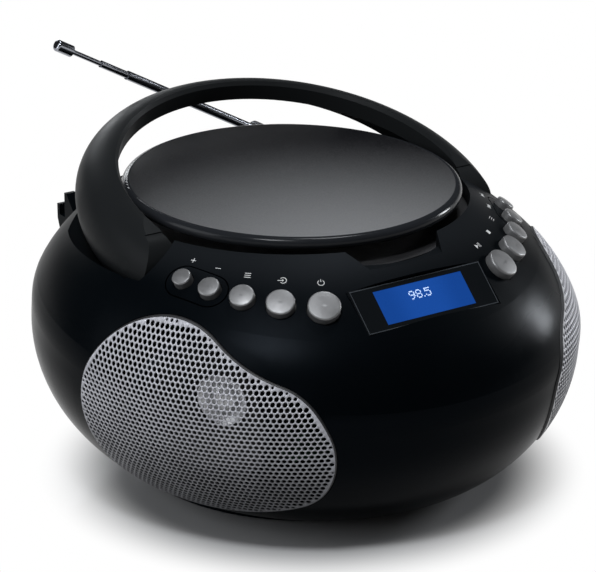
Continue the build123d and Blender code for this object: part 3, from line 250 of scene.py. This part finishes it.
def handlePlastic():
    look, rough = handleLook, handleLook["roughness"]
    material, tree, shader = newFinish("handlePlastic", look["colour"], rough, specular=look["specular"])
    addMottle(tree, shader, 45, 5, rough - 0.05, rough + 0.06)
    addBump(tree, shader, addNoise(tree, 2400, 2), 0.06, 0.0002)
    return material


lidLook = {
    # front and back: the lid's grey paint, painted lighter at the front as a highlight and darker at the back
    # as shade
    "front": (0.15, 0.151, 0.154),
    "back": (0.005, 0.005, 0.006),
    "edge": (0.012, 0.013, 0.015),
    "paintedHighlightMiddle": (-0.028, -0.085, 0.13),
    "fade": 0.162,             # from the painted highlight's brightest place to the darkest painted shade
    "edgeStart": 72.5 * mm,    # from the lid's middle
    "edgeBlend": 0.6 * mm,
    "roughness": 0.36,
    "edgeRoughness": 0.16,
    "specular": 0.08,
}


def lidPaintAndPaintedHighlight():
    look, start = lidLook, lidLook["edgeStart"]
    material, tree, shader = newFinish("lidPaintAndPaintedHighlight", look["front"], specular=look["specular"])
    # painted highlight and shade: the top runs from light at the front to dark at the back
    depth = addRange(tree, addAcross(tree, look["paintedHighlightMiddle"], lidAxis), 0, look["fade"], 0, 1)
    flake = addRange(tree, addNoise(tree, 1500, 2), 0.35, 0.65, -0.05, 0.05)
    top = addTint(tree, addMaths(tree, "ADD", depth, flake), look["front"], look["back"])
    edge = addRange(tree, addAcross(tree, lidMiddle, lidAxis), start, start + look["edgeBlend"], 0, 1)
    tree.links.new(addTint(tree, edge, top, look["edge"]), shader.inputs["Base Color"])
    grain = addRange(tree, addNoise(tree, 60, 5), 0.3, 0.7, -0.03, 0.03)
    glossy = addRange(tree, edge, 0, 1, look["roughness"], look["edgeRoughness"])
    tree.links.new(addMaths(tree, "ADD", glossy, grain), shader.inputs["Roughness"])
    addBump(tree, shader, addNoise(tree, 3200, 2), 0.08, 0.0002)
    return material


buttonLook = {
    "colour": (0.135, 0.135, 0.137),
    "worn": (0.18, 0.18, 0.183),
    "roughness": 0.38,
    "metallic": 0.55,
}


def buttonMetal():
    look, rough = buttonLook, buttonLook["roughness"]
    material, tree, shader = newFinish("buttonMetal", look["colour"], rough, look["metallic"])
    addCloud(tree, shader, 400, 5, look["colour"], look["worn"])
    addMottle(tree, shader, 160, 4, rough - 0.05, rough + 0.07)
    addBump(tree, shader, addNoise(tree, 4200, 2), 0.1, 0.0002)
    return material


grilleLook = {
    "colour": (0.39, 0.39, 0.42),
    "paintedShade": (0.1, 0.1, 0.107),
    "shadeHeight": (0.02, 0.072),   # painted shade near the table, the steel's own colour above
    "roughness": 0.36,
    "metallic": 0.12,
    "specular": 0.3,
}


def grilleSteelWithPaintedShade():
    look, rough = grilleLook, grilleLook["roughness"]
    material, tree, shader = newFinish("grilleSteelWithPaintedShade", look["colour"], rough, look["metallic"])
    shader.inputs["Specular IOR Level"].default_value = look["specular"]
    # painted shade: the steel's colour darkens towards the table
    height = addRange(tree, addAlong(tree, up), *look["shadeHeight"], -0.1, 0.85)
    dust = addRange(tree, addNoise(tree, 55, 5), 0.3, 0.7, 0, 0.15)
    tint = addTint(tree, addMaths(tree, "ADD", height, dust), look["paintedShade"], look["colour"])
    tree.links.new(tint, shader.inputs["Base Color"])
    addMottle(tree, shader, 700, 3, rough - 0.06, rough + 0.08)
    addBump(tree, shader, addNoise(tree, 3000, 2), 0.08, 0.0002)
    return material


chromeLook = {
    "colour": (0.3, 0.31, 0.34),
    "dark": (0.22, 0.23, 0.26),
    "light": (0.34, 0.35, 0.38),
    "roughness": (0.16, 0.26),
}


def brightChrome():
    look = chromeLook
    material, tree, shader = newFinish("brightChrome", look["colour"], metallic=1.0)
    addMottle(tree, shader, 60, 3, *look["roughness"], span=(0.35, 0.7))
    addCloud(tree, shader, 30, 3, look["dark"], look["light"])
    return material


steelLook = {
    "colour": (0.45, 0.45, 0.46),
    "dark": (0.3, 0.3, 0.31),
    "light": (0.5, 0.5, 0.5),
    "roughness": (0.25, 0.5),
}


def platedSteel():
    look = steelLook
    material, tree, shader = newFinish("platedSteel", look["colour"], metallic=1.0)
    addMottle(tree, shader, 140, 6, *look["roughness"])
    addCloud(tree, shader, 70, 5, look["dark"], look["light"])
    addBump(tree, shader, addNoise(tree, 700, 4, stretch=(1, 12, 1)), 0.12, 0.0003)
    return material


rubberLook = {
    "colour": (0.018, 0.018, 0.019),
    "dark": (0.012, 0.012, 0.013),
    "dusty": (0.035, 0.034, 0.033),
    "roughness": 0.8,
}


def softRubber():
    look = rubberLook
    material, tree, shader = newFinish("softRubber", look["colour"], look["roughness"], specular=0.3)
    addCloud(tree, shader, 120, 6, look["dark"], look["dusty"])
    addBump(tree, shader, addNoise(tree, 1400, 3), 0.3, 0.0004)
    return material


windowLook = {
    "colour": (0.004, 0.005, 0.006),
    "dark": (0.003, 0.004, 0.005),
    "light": (0.006, 0.007, 0.008),
    "roughness": (0.05, 0.14),
}


def windowGloss():
    look = windowLook
    material, tree, shader = newFinish("windowGloss", look["colour"], specular=0.4)
    addMottle(tree, shader, 90, 6, *look["roughness"], span=(0.4, 0.75))
    addCloud(tree, shader, 20, 4, look["dark"], look["light"])
    return material


displayLook = {
    "blue": (0.0098, 0.0726, 0.352),
    "blueAtEdge": (0.007, 0.058, 0.29),
    "fade": (0.008, 0.026),    # from the panel's middle line to its edge
    "glow": 0.88,
    "cells": (0.42, 0.6, 0.86),
    "cellsBright": (0.6, 0.74, 0.95),
    "cellGlow": 0.85,
}


def displayBlue():
    material, tree, shader = newFinish("displayBlue", (0.001, 0.006, 0.03), 0.12, specular=0.25)
    side = addAcross(tree, middle("lcd_panel"), (0, 1, 1))
    fade = addRange(tree, side, *displayLook["fade"], 0, 1)
    glow = addTint(tree, fade, displayLook["blue"], displayLook["blueAtEdge"])
    grain = addRange(tree, addNoise(tree, 1800, 1), 0.2, 0.8, 0.96, 1.04)
    scaled = addNode(tree, "ShaderNodeVectorMath", operation="SCALE")
    tree.links.new(glow, scaled.inputs[0])
    tree.links.new(grain, scaled.inputs["Scale"])
    tree.links.new(scaled.outputs[0], shader.inputs["Emission Color"])
    shader.inputs["Emission Strength"].default_value = displayLook["glow"]
    return material


def displayCells():
    material, tree, shader = newFinish("displayCells", (0.3, 0.4, 0.6), 0.3, specular=0.2)
    tint = addTint(tree, addNoise(tree, 900, 2), displayLook["cells"], displayLook["cellsBright"])
    tree.links.new(tint, shader.inputs["Emission Color"])
    shader.inputs["Emission Strength"].default_value = displayLook["cellGlow"]
    return material


# painted highlight: a lighter grey for the line round the display window
edgeHighlightLook = {"colour": (0.03, 0.034, 0.04), "dark": (0.022, 0.026, 0.031), "light": (0.045, 0.05, 0.056)}


def paintedEdgeHighlight():
    material, tree, shader = newFinish("paintedEdgeHighlight", edgeHighlightLook["colour"], 0.3, specular=0.4)
    addCloud(tree, shader, 500, 3, edgeHighlightLook["dark"], edgeHighlightLook["light"])
    return material


inkLook = {"colour": (0.5, 0.5, 0.5), "faded": (0.38, 0.38, 0.38), "fresh": (0.56, 0.56, 0.56)}


def printedInk():
    material, tree, shader = newFinish("printedInk", inkLook["colour"], specular=0.3)
    addCloud(tree, shader, 1300, 4, inkLook["faded"], inkLook["fresh"])
    return material


boardLook = {"colour": (0.02, 0.09, 0.035), "mask": (0.012, 0.065, 0.025), "trace": (0.03, 0.15, 0.06)}


def circuitBoard():
    material, tree, shader = newFinish("circuitBoard", boardLook["colour"], 0.35)
    trace = addNode(tree, "ShaderNodeTexVoronoi", feature="DISTANCE_TO_EDGE")
    trace.inputs["Scale"].default_value = 260
    place = addNode(tree, "ShaderNodeTexCoord")
    tree.links.new(place.outputs["Object"], trace.inputs["Vector"])
    line = addRange(tree, trace.outputs["Distance"], 0.05, 0.12, 1, 0)
    tree.links.new(addTint(tree, line, boardLook["mask"], boardLook["trace"]), shader.inputs["Base Color"])
    addBump(tree, shader, line, 0.2, 0.0003)
    return material


innerLook = {
    "colour": (0.016, 0.016, 0.018),
    "dark": (0.011, 0.011, 0.012),
    "light": (0.022, 0.022, 0.024),
    "roughness": (0.48, 0.64),
}


def innerPlastic():
    look = innerLook
    material, tree, shader = newFinish("innerPlastic", look["colour"], specular=0.35)
    addMottle(tree, shader, 90, 5, *look["roughness"])
    addCloud(tree, shader, 50, 5, look["dark"], look["light"])
    addBump(tree, shader, addNoise(tree, 1600, 4), 0.25, 0.0003)
    return material


coneLook = {
    "capRadius": 11.5 * mm,
    "capBlend": 0.2 * mm,
    "paper": (0.012, 0.012, 0.012),
    "paperDark": (0.008, 0.008, 0.008),
    "paperLight": (0.02, 0.02, 0.019),
    # cap: the dust cap's own light grey, made near white as a painted highlight
    "cap": (0.85, 0.85, 0.88),
}


def conePaper(name, joint, point):
    look, rim = coneLook, coneLook["capRadius"]
    material, tree, shader = newFinish(name, look["paper"], specular=0.2)
    cap = addRange(tree, addAcross(tree, point, axisOf(joint)), rim - look["capBlend"], rim, 1, 0)
    fibre = addNoise(tree, 700, 6)
    paper = addTint(tree, fibre, look["paperDark"], look["paperLight"])
    tree.links.new(addTint(tree, cap, paper, look["cap"]), shader.inputs["Base Color"])
    tree.links.new(addRange(tree, cap, 0, 1, 0.8, 0.25), shader.inputs["Roughness"])
    tree.links.new(addRange(tree, cap, 0, 1, 0, 0.3), shader.inputs["Metallic"])
    addBump(tree, shader, fibre, 0.3, 0.0004)
    return material


lensLook = {"colour": (0.12, 0.16, 0.3), "blue": (0.08, 0.1, 0.25), "violet": (0.2, 0.16, 0.35), "coat": 0.6}


def lensGlass():
    material, tree, shader = newFinish("lensGlass", lensLook["colour"], 0.03, specular=0.8)
    addCloud(tree, shader, 300, 2, lensLook["blue"], lensLook["violet"])
    shader.inputs["Coat Weight"].default_value = lensLook["coat"]
    return material


shell = shellPlastic()
inner = innerPlastic()
steel = platedSteel()
ink = printedInk()
buttons = [
    "power_button", "source_button", "mode_button", "volume_down_button", "volume_up_button",
    "play_button", "stop_button", "menu_button", "back_button", "forward_button",
]
antenna = ["antenna_main", "antenna_middle", "antenna_upper", "antenna_tip", "antenna_swivel"]
paint(["base_shell", "upper_shell", "volume_island", "tuning_island", "antenna_clip", "antenna_mount"], shell)
handleFinish = handlePlastic()
paint(["handle"], handleFinish)
paint(["cd_lid"], lidPaintAndPaintedHighlight())
paint(buttons, buttonMetal())
paint(["rubber_feet", "drive_dampers"], softRubber())
paint(antenna, brightChrome())
paint(["display_window"], windowGloss())
paint(["lcd_panel"], displayBlue())
paint(["display_board", "main_board", "power_board"], circuitBoard())
paint(["laser_lens"], lensGlass())
paint(
    ["case_screws", "handle_pins", "lid_hinge_pins", "sled_rails", "spindle_motor", "sled_motor",
     "drive_chassis", "left_speaker_magnet", "right_speaker_magnet", "battery_contacts"],
    steel,
)
paint(
    ["disc_well", "lid_liner", "disc_clamp", "turntable", "laser_sled", "sled_gear", "battery_tray",
     "battery_door", "left_key_bridge", "right_key_bridge", "key_switches", "mains_inlet", "audio_jacks",
     "left_speaker_frame", "right_speaker_frame"],
    inner,
)
for side in ("left", "right"):
    cone = conePaper(side + "ConePaper", side + "_cone_slide", middle(side + "_speaker_magnet"))
    paint([side + "_speaker_cone"], cone)
print("finishes on the frame done")


# speaker grilles: perforated sheet steel with a rolled edge

grilleShape = {
    "pitch": 2.4 * mm,
    "hole": 1.95 * mm,
    "smallestHole": 0.9 * mm,  # holes shrink to this beside the edge
    "holeSides": 10,
    "plainEdge": 0.45 * mm,    # from the outline to the nearest hole's rim
    "sheet": 0.6 * mm,
    "roll": 0.35 * mm,
    "skirt": 1.7 * mm,
    "outlineStep": 1.2 * mm,
    "holeReach": 0.97,         # share of a hole's radius within which the sheet is cut away
    "rayStart": 100 * mm,
    "nearEdge": (1, 0.995, 0.99, 0.98, 0.96, 0.93),
}


def outerLoop(mesh, outward):
    # the edge of the faces that look outwards, as a closed row of points
    def key(index):
        return tuple(round(c, 6) for c in mesh.vertices[index].co)

    used = {}
    for polygon in mesh.polygons:
        if polygon.normal.dot(outward) > facingOut:
            for pair in polygon.edge_keys:
                ends = tuple(sorted(key(i) for i in pair))
                used[ends] = used.get(ends, 0) + 1
    following = {}
    for (first, second), count in used.items():
        if count == 1:
            following.setdefault(first, []).append(second)
            following.setdefault(second, []).append(first)
    start = next(iter(following))
    loop = [start]
    previous, here = None, start
    while True:
        ahead = [p for p in following[here] if p != previous]
        previous, here = here, ahead[0]
        if here == start:
            return [Vector(p) for p in loop]
        loop.append(here)


def evenLoop(loop, step):
    # the same closed line with points an even step apart
    lengths = [(loop[i] - loop[i - 1]).length for i in range(len(loop))]
    count = max(12, round(sum(lengths) / step))
    spacing = sum(lengths) / count
    result, travelled, index = [], 0.0, 0
    for number in range(count):
        target = number * spacing
        while travelled + lengths[(index + 1) % len(loop)] < target:
            travelled += lengths[(index + 1) % len(loop)]
            index += 1
        first, second = loop[index % len(loop)], loop[(index + 1) % len(loop)]
        result.append(first.lerp(second, (target - travelled) / lengths[(index + 1) % len(loop)]))
    return result


def insetLoop(loop, distance):
    # a flat closed line moved inwards
    turn = sum(loop[i - 1].cross(loop[i]) for i in range(len(loop)))
    sign = 1 if turn > 0 else -1
    result = []
    for i in range(len(loop)):
        along = (loop[(i + 1) % len(loop)] - loop[i - 1]).normalized()
        result.append(loop[i] + sign * distance * Vector((-along.y, along.x)))
    return result


def distanceToLoop(point, loop):
    best = 1.0
    for i in range(len(loop)):
        first, second = loop[i - 1], loop[i]
        along = second - first
        share = max(0.0, min(1.0, (point - first).dot(along) / along.length_squared))
        best = min(best, (point - first - along * share).length)
    return best


def insideLoop(point, loop):
    inside = False
    for i in range(len(loop)):
        first, second = loop[i - 1], loop[i]
        if (first.y > point.y) != (second.y > point.y):
            if point.x < first.x + (point.y - first.y) / (second.y - first.y) * (second.x - first.x):
                inside = not inside
    return inside


def holeCentres(outline):
    # rows of holes within the outline, each with the radius that has room there
    pitch, fullRadius = grilleShape["pitch"], grilleShape["hole"] / 2
    low = Vector((min(p.x for p in outline), min(p.y for p in outline)))
    high = Vector((max(p.x for p in outline), max(p.y for p in outline)))
    rowHeight = pitch * math.sqrt(3) / 2
    centres = []
    for row in range(int((high.y - low.y) / rowHeight) + 2):
        for column in range(int((high.x - low.x) / pitch) + 2):
            place = Vector((low.x + (column + (row % 2) / 2) * pitch, low.y + row * rowHeight))
            room = distanceToLoop(place, outline) - grilleShape["plainEdge"]
            if insideLoop(place, outline) and room > grilleShape["smallestHole"] / 2:
                centres.append((place, min(fullRadius, room)))
    return centres


def punchedSheet(edge, centres):
    # flat points and triangles of a sheet with round holes
    sides, pitch = grilleShape["holeSides"], grilleShape["pitch"]
    points = list(edge)
    edges = [(i, (i + 1) % len(edge)) for i in range(len(edge))]
    cells = {}
    for centre, radius in centres:
        first = len(points)
        for i in range(sides):
            angle = 2 * math.pi * i / sides
            points.append(centre + radius * Vector((math.cos(angle), math.sin(angle))))
        edges += [(first + i, first + (i + 1) % sides) for i in range(sides)]
        cells.setdefault((round(centre.x / pitch), round(centre.y / pitch)), []).append((centre, radius))
    flatPoints, _, triangles, _, _, _ = delaunay_2d_cdt(points, edges, [], 1, 1e-7)

    def inHole(place):
        column, row = round(place.x / pitch), round(place.y / pitch)
        near = [cells.get((column + dx, row + dy), []) for dx in (-1, 0, 1) for dy in (-1, 0, 1)]
        return any((c - place).length <= r * grilleShape["holeReach"] for cell in near for c, r in cell)

    faces = []
    for triangle in triangles:
        a, b, c = (flatPoints[i] for i in triangle)
        if not inHole((a + b + c) / 3):
            turned = (b - a).cross(c - a) <= 0
            faces.append(tuple(reversed(triangle)) if turned else tuple(triangle))
    return flatPoints, faces


def grille(side):
    node = side + "_grille"
    outward = axisOf(side + "_cone_slide")
    upward = (up - outward * up.dot(outward)).normalized()
    across = upward.cross(outward)
    origin = middle(node)
    tree = surfaceOf(node, outward)

    def flat(point):
        return Vector(((point - origin).dot(across), (point - origin).dot(upward)))

    def lift(place, depth):
        return origin + across * place.x + upward * place.y + outward * depth

    def depthAt(place):
        # a ray that misses beside the edge starts again further in
        for share in grilleShape["nearEdge"]:
            hit = tree.ray_cast(lift(place * share, grilleShape["rayStart"]), -outward)[0]
            if hit is not None:
                break
        return (hit - origin).dot(outward)

    outline = evenLoop([flat(p) for p in outerLoop(cad[node].data, outward)], grilleShape["outlineStep"])
    centres = holeCentres(outline)
    flatPoints, faces = punchedSheet(insetLoop(outline, grilleShape["roll"]), centres)
    vertices = [lift(p, depthAt(p)) for p in flatPoints]
    rings = []      # rolled edge and skirt, outside the flat sheet's own edge
    for share in (0.35, 0.7, 1.0):
        ring = insetLoop(outline, grilleShape["roll"] * (1 - share))
        drop = grilleShape["roll"] * (1 - math.sqrt(1 - share ** 2))
        rings.append([(p, depthAt(p) - drop) for p in ring])
    rings.append([(p, depth - grilleShape["skirt"]) for p, depth in rings[-1]])
    count = len(outline)
    previous = list(range(count))
    for ring in rings:
        here = [len(vertices) + i for i in range(count)]
        vertices += [lift(p, depth) for p, depth in ring]
        for i in range(count):
            j = (i + 1) % count
            faces.append((previous[i], previous[j], here[j], here[i]))
        previous = here
    piece = newPiece(side + "GrilleSheet", vertices, faces, "case", grilleWithPaintedShade)
    piece.data.materials.append(inner)
    for polygon in piece.data.polygons:     # painted shade: the rolled edge and skirt take the black inner plastic, so they read as the dark gap round the grille
        if len(polygon.vertices) == 4:
            polygon.material_index = 1
    solid = piece.modifiers.new("sheet", "SOLIDIFY")
    solid.thickness = grilleShape["sheet"]
    solid.offset = -1
    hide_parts(node)
    return len(centres)


grilleWithPaintedShade = grilleSteelWithPaintedShade()
holes = [grille(side) for side in ("left", "right")]
print("grilles done:", holes, "holes")


# display: dot-matrix numbers

displayShape = {
    "text": "98.5",
    "cell": 0.5 * mm,
    "pitch": 0.58 * mm,
    "left": -6.6 * mm,     # first column, from the panel's middle
    "top": 4.0 * mm,       # first row, from the panel's middle
    "proud": 0.05 * mm,
}
dotRows = {
    "9": ["01110", "10001", "10001", "01111", "00001", "00010", "01100"],
    "8": ["01110", "10001", "10001", "01110", "10001", "10001", "01110"],
    "5": ["11111", "10000", "11110", "00001", "00001", "10001", "01110"],
    ".": ["0", "0", "0", "0", "0", "0", "1"],
}


def displayNumbers():
    low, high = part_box("lcd_panel")
    slope = math.atan2(high.z - low.z, high.y - low.y)
    guess = Vector((0, -math.sin(slope), math.cos(slope)))
    facing = [p for p in cad["lcd_panel"].data.polygons if p.normal.dot(guess) > 0.8]
    normal = max(facing, key=lambda p: p.area).normal
    upwards = normal.cross(rightward)
    face = faceTowards("lcd_panel", normal) + normal * displayShape["proud"]
    cell, pitch, left = (displayShape[key] for key in ("cell", "pitch", "left"))
    points, faces = [], []

    def addCell(x, y):
        first = len(points)
        points.extend(face + rightward * (x + dx) + upwards * (y + dy)
                      for dx, dy in ((0, 0), (cell, 0), (cell, cell), (0, cell)))
        faces.append((first, first + 1, first + 2, first + 3))

    for letter in displayShape["text"]:
        rows = dotRows[letter]
        for rowNumber, row in enumerate(rows):
            for column, mark in enumerate(row):
                if mark == "1":
                    addCell(left + column * pitch, displayShape["top"] - rowNumber * pitch)
        left += (len(rows[0]) + 1) * pitch
    newPiece("displayNumbers", points, faces, "case", displayCells(), smooth=False)


# a thin lighter line round the window, a painted highlight where its bevelled edge would catch the light, and
# plugs over the ends of the handle's pins
trimShape = {
    "inset": 0.5 * mm,
    "line": 0.4 * mm,
    "lineStep": 1.0 * mm,
    "proud": 0.06 * mm,
    "plugRadius": 3.3 * mm,
    "plugSides": 24,
    "plugProud": 0.05 * mm,
    "windowRay": 20 * mm,
    "plugRay": 150 * mm,       # from the middle plane, outside the handle
}


def windowHighlightLine():
    window = cad["display_window"].data
    outward = max(window.polygons, key=lambda p: p.area * max(0, p.normal.z)).normal.copy()
    tree = surfaceOf("display_window", outward)
    upward = outward.cross(rightward).normalized()
    origin = middle("display_window")

    def flat(point):
        return Vector(((point - origin).dot(rightward), (point - origin).dot(upward)))

    loop = evenLoop([flat(p) for p in outerLoop(window, outward)], trimShape["lineStep"])
    points = []
    for inset in (trimShape["inset"], trimShape["inset"] + trimShape["line"]):
        for place in insetLoop(loop, inset):
            level = origin + rightward * place.x + upward * place.y
            hit = tree.ray_cast(level + outward * trimShape["windowRay"], -outward)[0]
            points.append((hit or level) + outward * trimShape["proud"])
    count = len(loop)
    faces = [(i, (i + 1) % count, count + (i + 1) % count, count + i) for i in range(count)]
    # the strip's lighter colour is a painted highlight along the window's edge
    newPiece("window_highlight_line", points, faces, "case", paintedEdgeHighlight(), smooth=False)


def handlePlugs():
    pivot, tree = placeOf("handle_hinge"), surfaceOf("handle")
    radius, sides = trimShape["plugRadius"], trimShape["plugSides"]
    for name, way in (("left_handle_plug", -1), ("right_handle_plug", 1)):
        rim = []
        for step in range(sides):
            angle = 2 * math.pi * step / sides
            side = (pivot.y + radius * math.cos(angle), pivot.z + radius * math.sin(angle))
            hit = tree.ray_cast(Vector((way * trimShape["plugRay"], *side)), rightward * -way)[0]
            if hit is not None:
                rim.append(hit + rightward * way * trimShape["plugProud"])
        heart = sum(rim, Vector()) / len(rim)
        faces = [(i, (i + 1) % len(rim), len(rim)) for i in range(len(rim))]
        newPiece(name, rim + [heart], faces, "handle", handleFinish)


displayNumbers()
windowHighlightLine()
handlePlugs()
print("display and plugs done")


# small printed marks beside the buttons

markShape = {
    "size": 1.5 * mm,      # one unit of the strokes below
    "line": 0.32 * mm,
    "inwards": 4.2 * mm,   # from the button's rim towards the lid
    "proud": 0.04 * mm,
    "rayStart": 30 * mm,
}
stroke = markShape["line"] / markShape["size"]
deck = surfaceOf("upper_shell")


def bar(x0, y0, x1, y1):
    # a straight stroke as a four-sided outline
    along = Vector((x1 - x0, y1 - y0)).normalized()
    side = Vector((-along.y, along.x)) * stroke / 2
    a, b = Vector((x0, y0)), Vector((x1, y1))
    return [[a - side, b - side, b + side, a + side]]


def arc(x, y, radius, start, end, steps=20):
    near, far = radius - stroke / 2, radius + stroke / 2
    pieces = []
    for step in range(steps):
        a, b = (math.radians(start + (end - start) * s / steps) for s in (step, step + 1))
        ring = ((near, a), (far, a), (far, b), (near, b))
        pieces.append([Vector((x + r * math.cos(t), y + r * math.sin(t))) for r, t in ring])
    return pieces


def shape(*corners):
    return [[Vector(c) for c in corners]]


def rules(x0, x1):
    # three level strokes, one below the other
    return [outline for y in (0.7, 0, -0.7) for outline in bar(x0, y, x1, y)]


def skip(way):
    # two arrowheads against a bar, pointing right (1) or left (-1)
    heads = [shape((x * way, 0.8), ((x + 1.1) * way, 0), (x * way, -0.8)) for x in (-0.1, -1.2)]
    return heads[0] + heads[1] + bar(1.15 * way, 0.8, 1.15 * way, -0.8)


marks = {
    "power_button": arc(0, 0, 0.9, 125, 415) + bar(0, 0.25, 0, 1.15),
    "source_button": arc(0.25, 0, 0.95, -140, 140) + bar(-1.3, 0, 0.1, 0)
    + shape((0, 0.4), (0, -0.4), (0.55, 0)),
    "mode_button": rules(-0.9, 0.9),
    "volume_down_button": bar(-0.8, 0, 0.8, 0),
    "volume_up_button": bar(-0.8, 0, 0.8, 0) + bar(0, -0.8, 0, 0.8),
    "play_button": shape((-1.2, 0.8), (-1.2, -0.8), (0.1, 0)) + bar(0.5, 0.8, 0.5, -0.8)
    + bar(1.1, 0.8, 1.1, -0.8),
    "stop_button": shape((-0.7, -0.7), (0.7, -0.7), (0.7, 0.7), (-0.7, 0.7)),
    "menu_button": rules(-0.3, 1) + rules(-1, -0.7),
    "back_button": skip(-1),
    "forward_button": skip(1),
}


def printMark(button):
    outward = -axisOf(button + "_press")
    centre = middle(button)
    inwards = lidMiddle - centre
    inwards = (inwards - outward * inwards.dot(outward)).normalized()
    right = inwards.cross(outward)
    low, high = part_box(button)
    radius = (high.x - low.x) / 2
    origin = centre + inwards * (radius + markShape["inwards"])
    points, faces = [], []
    for outline in marks[button]:
        first = len(points)
        for corner in outline:
            level = origin + (right * corner.x + inwards * corner.y) * markShape["size"]
            hit, normal, _, _ = deck.ray_cast(level + outward * markShape["rayStart"], -outward)
            points.append(hit + normal * markShape["proud"])
        faces.append(tuple(range(first, len(points))))
    newPiece(button + "_mark", points, faces, "case", ink, smooth=False)


for button in buttons:
    printMark(button)
print("marks done")


# floor, lamps and camera

studio = {
    # floor: a grey seen only near the object, a painted shadow round it on top of the lamps' real shadow
    "floor": (0.33, 0.33, 0.334),
    "floorSize": 8.0,
    "shadowMiddle": (-0.005, -0.012, 0),
    "shadowReach": (0.084, 0.126),     # the floor turns plain white between these distances
    "ambient": 0.1,
    "roomHeight": (0.02, 0.17),        # the room seen in gloss darkens upwards between these
    "roomBright": (1.0, 0.03),
}


def addSeen(tree):
    # 1 for what the camera, a reflection or glass sees, 0 for light that falls on the object
    rays = addNode(tree, "ShaderNodeLightPath")
    seen = addMaths(tree, "MAXIMUM", rays.outputs["Is Camera Ray"], rays.outputs["Is Glossy Ray"])
    return addMaths(tree, "MAXIMUM", seen, rays.outputs["Is Transmission Ray"])


def floorWithPaintedShadow():
    material, tree, shader = newFinish("paleFloorWithPaintedShadow", studio["floor"])
    addMottle(tree, shader, 8, 4, 0.14, 0.2)
    white = addNode(tree, "ShaderNodeEmission")
    white.inputs["Color"].default_value = (1, 1, 1, 1)
    # painted shadow: grey floor near the object, plain white further out
    far = addRange(tree, addAcross(tree, studio["shadowMiddle"], up), *studio["shadowReach"], 0, 1)
    mix = addNode(tree, "ShaderNodeMixShader")
    tree.links.new(addMaths(tree, "MULTIPLY", far, addSeen(tree)), mix.inputs["Fac"])
    tree.links.new(shader.outputs[0], mix.inputs[1])
    tree.links.new(white.outputs[0], mix.inputs[2])
    tree.links.new(mix.outputs[0], tree.nodes["Material Output"].inputs["Surface"])
    return material


def makeFloor():
    size = studio["floorSize"]
    corners = [(-size, -size, 0), (size, -size, 0), (size, size, 0), (-size, size, 0)]
    mesh = bpy.data.meshes.new("floor")
    mesh.from_pydata(corners, [], [(0, 1, 2, 3)])
    mesh.materials.append(floorWithPaintedShadow())
    floor = bpy.data.objects.new("floor", mesh)
    bpy.context.scene.collection.objects.link(floor)


def makeWorld():
    world = bpy.data.worlds.new("studio")
    bpy.context.scene.world = world
    world.use_nodes = True
    tree = world.node_tree
    background = tree.nodes["Background"]
    place = addNode(tree, "ShaderNodeTexCoord")
    split = addNode(tree, "ShaderNodeSeparateXYZ")
    tree.links.new(place.outputs["Generated"], split.inputs[0])
    room = addRange(tree, split.outputs["Z"], *studio["roomHeight"], *studio["roomBright"])
    mix = addNode(tree, "ShaderNodeMix", data_type="FLOAT")
    mix.inputs["A"].default_value = studio["ambient"]
    tree.links.new(addSeen(tree), mix.inputs["Factor"])
    tree.links.new(room, mix.inputs["B"])
    tree.links.new(mix.outputs["Result"], background.inputs["Strength"])
    background.inputs["Color"].default_value = (1, 1, 1, 1)


lampColour = (0.94, 0.97, 1.0)
lamps = {
    "topLamp": {"place": (-0.5, -0.42, 1.25), "aim": (0, 0, 0.1), "size": (0.25, 0.18), "power": 11.5},
    "frontLamp": {"place": (-0.9, -1.1, 0.85), "aim": (0, 0, 0.08), "size": (0.5, 0.5), "power": 0.5},
    "deckLamp": {"place": (0.32, 0.12, 1.2), "aim": (0, 0, 0.1), "size": (0.26, 0.26), "power": 6.0},
    "leftLamp": {"place": (-1.2, 0.25, 0.6), "aim": (0, 0, 0.1), "size": (0.8, 0.8), "power": 8.5},
    "backLamp": {"place": (0.3, 1.3, 0.5), "aim": (0, 0, 0.08), "size": (0.5, 0.4), "power": 4.0},
    "rightLamp": {"place": (1.2, -0.12, 0.38), "aim": (0, 0, 0.09), "size": (0.18, 0.34), "power": 8.0},
}


def addLamp(name, place, aim, size, power):
    lamp = bpy.data.lights.new(name, "AREA")
    lamp.shape = "RECTANGLE"
    lamp.size, lamp.size_y = size
    lamp.energy = power
    lamp.color = lampColour
    holder = bpy.data.objects.new(name, lamp)
    holder.location = place
    holder.rotation_euler = (Vector(aim) - Vector(place)).to_track_quat("-Z", "Y").to_euler()
    bpy.context.scene.collection.objects.link(holder)


cameraSetup = {
    "place": (-0.66507, -0.97792, 0.52493),
    "towards": (0.5242, 0.7758, -0.3512),
    "lens": 170.0,
    "sensor": 36,
    "farthest": 30,
}


def makeCamera():
    camera = bpy.data.cameras.new("camera")
    camera.lens = cameraSetup["lens"]
    camera.sensor_width = cameraSetup["sensor"]
    camera.clip_end = cameraSetup["farthest"]
    holder = bpy.data.objects.new("camera", camera)
    holder.location = cameraSetup["place"]
    holder.rotation_euler = Vector(cameraSetup["towards"]).to_track_quat("-Z", "Y").to_euler()
    bpy.context.scene.collection.objects.link(holder)
    bpy.context.scene.camera = holder


makeFloor()
makeWorld()
for name, lamp in lamps.items():
    addLamp(name, **lamp)
makeCamera()
bpy.context.scene.view_settings.view_transform = "Standard"
print("studio done")
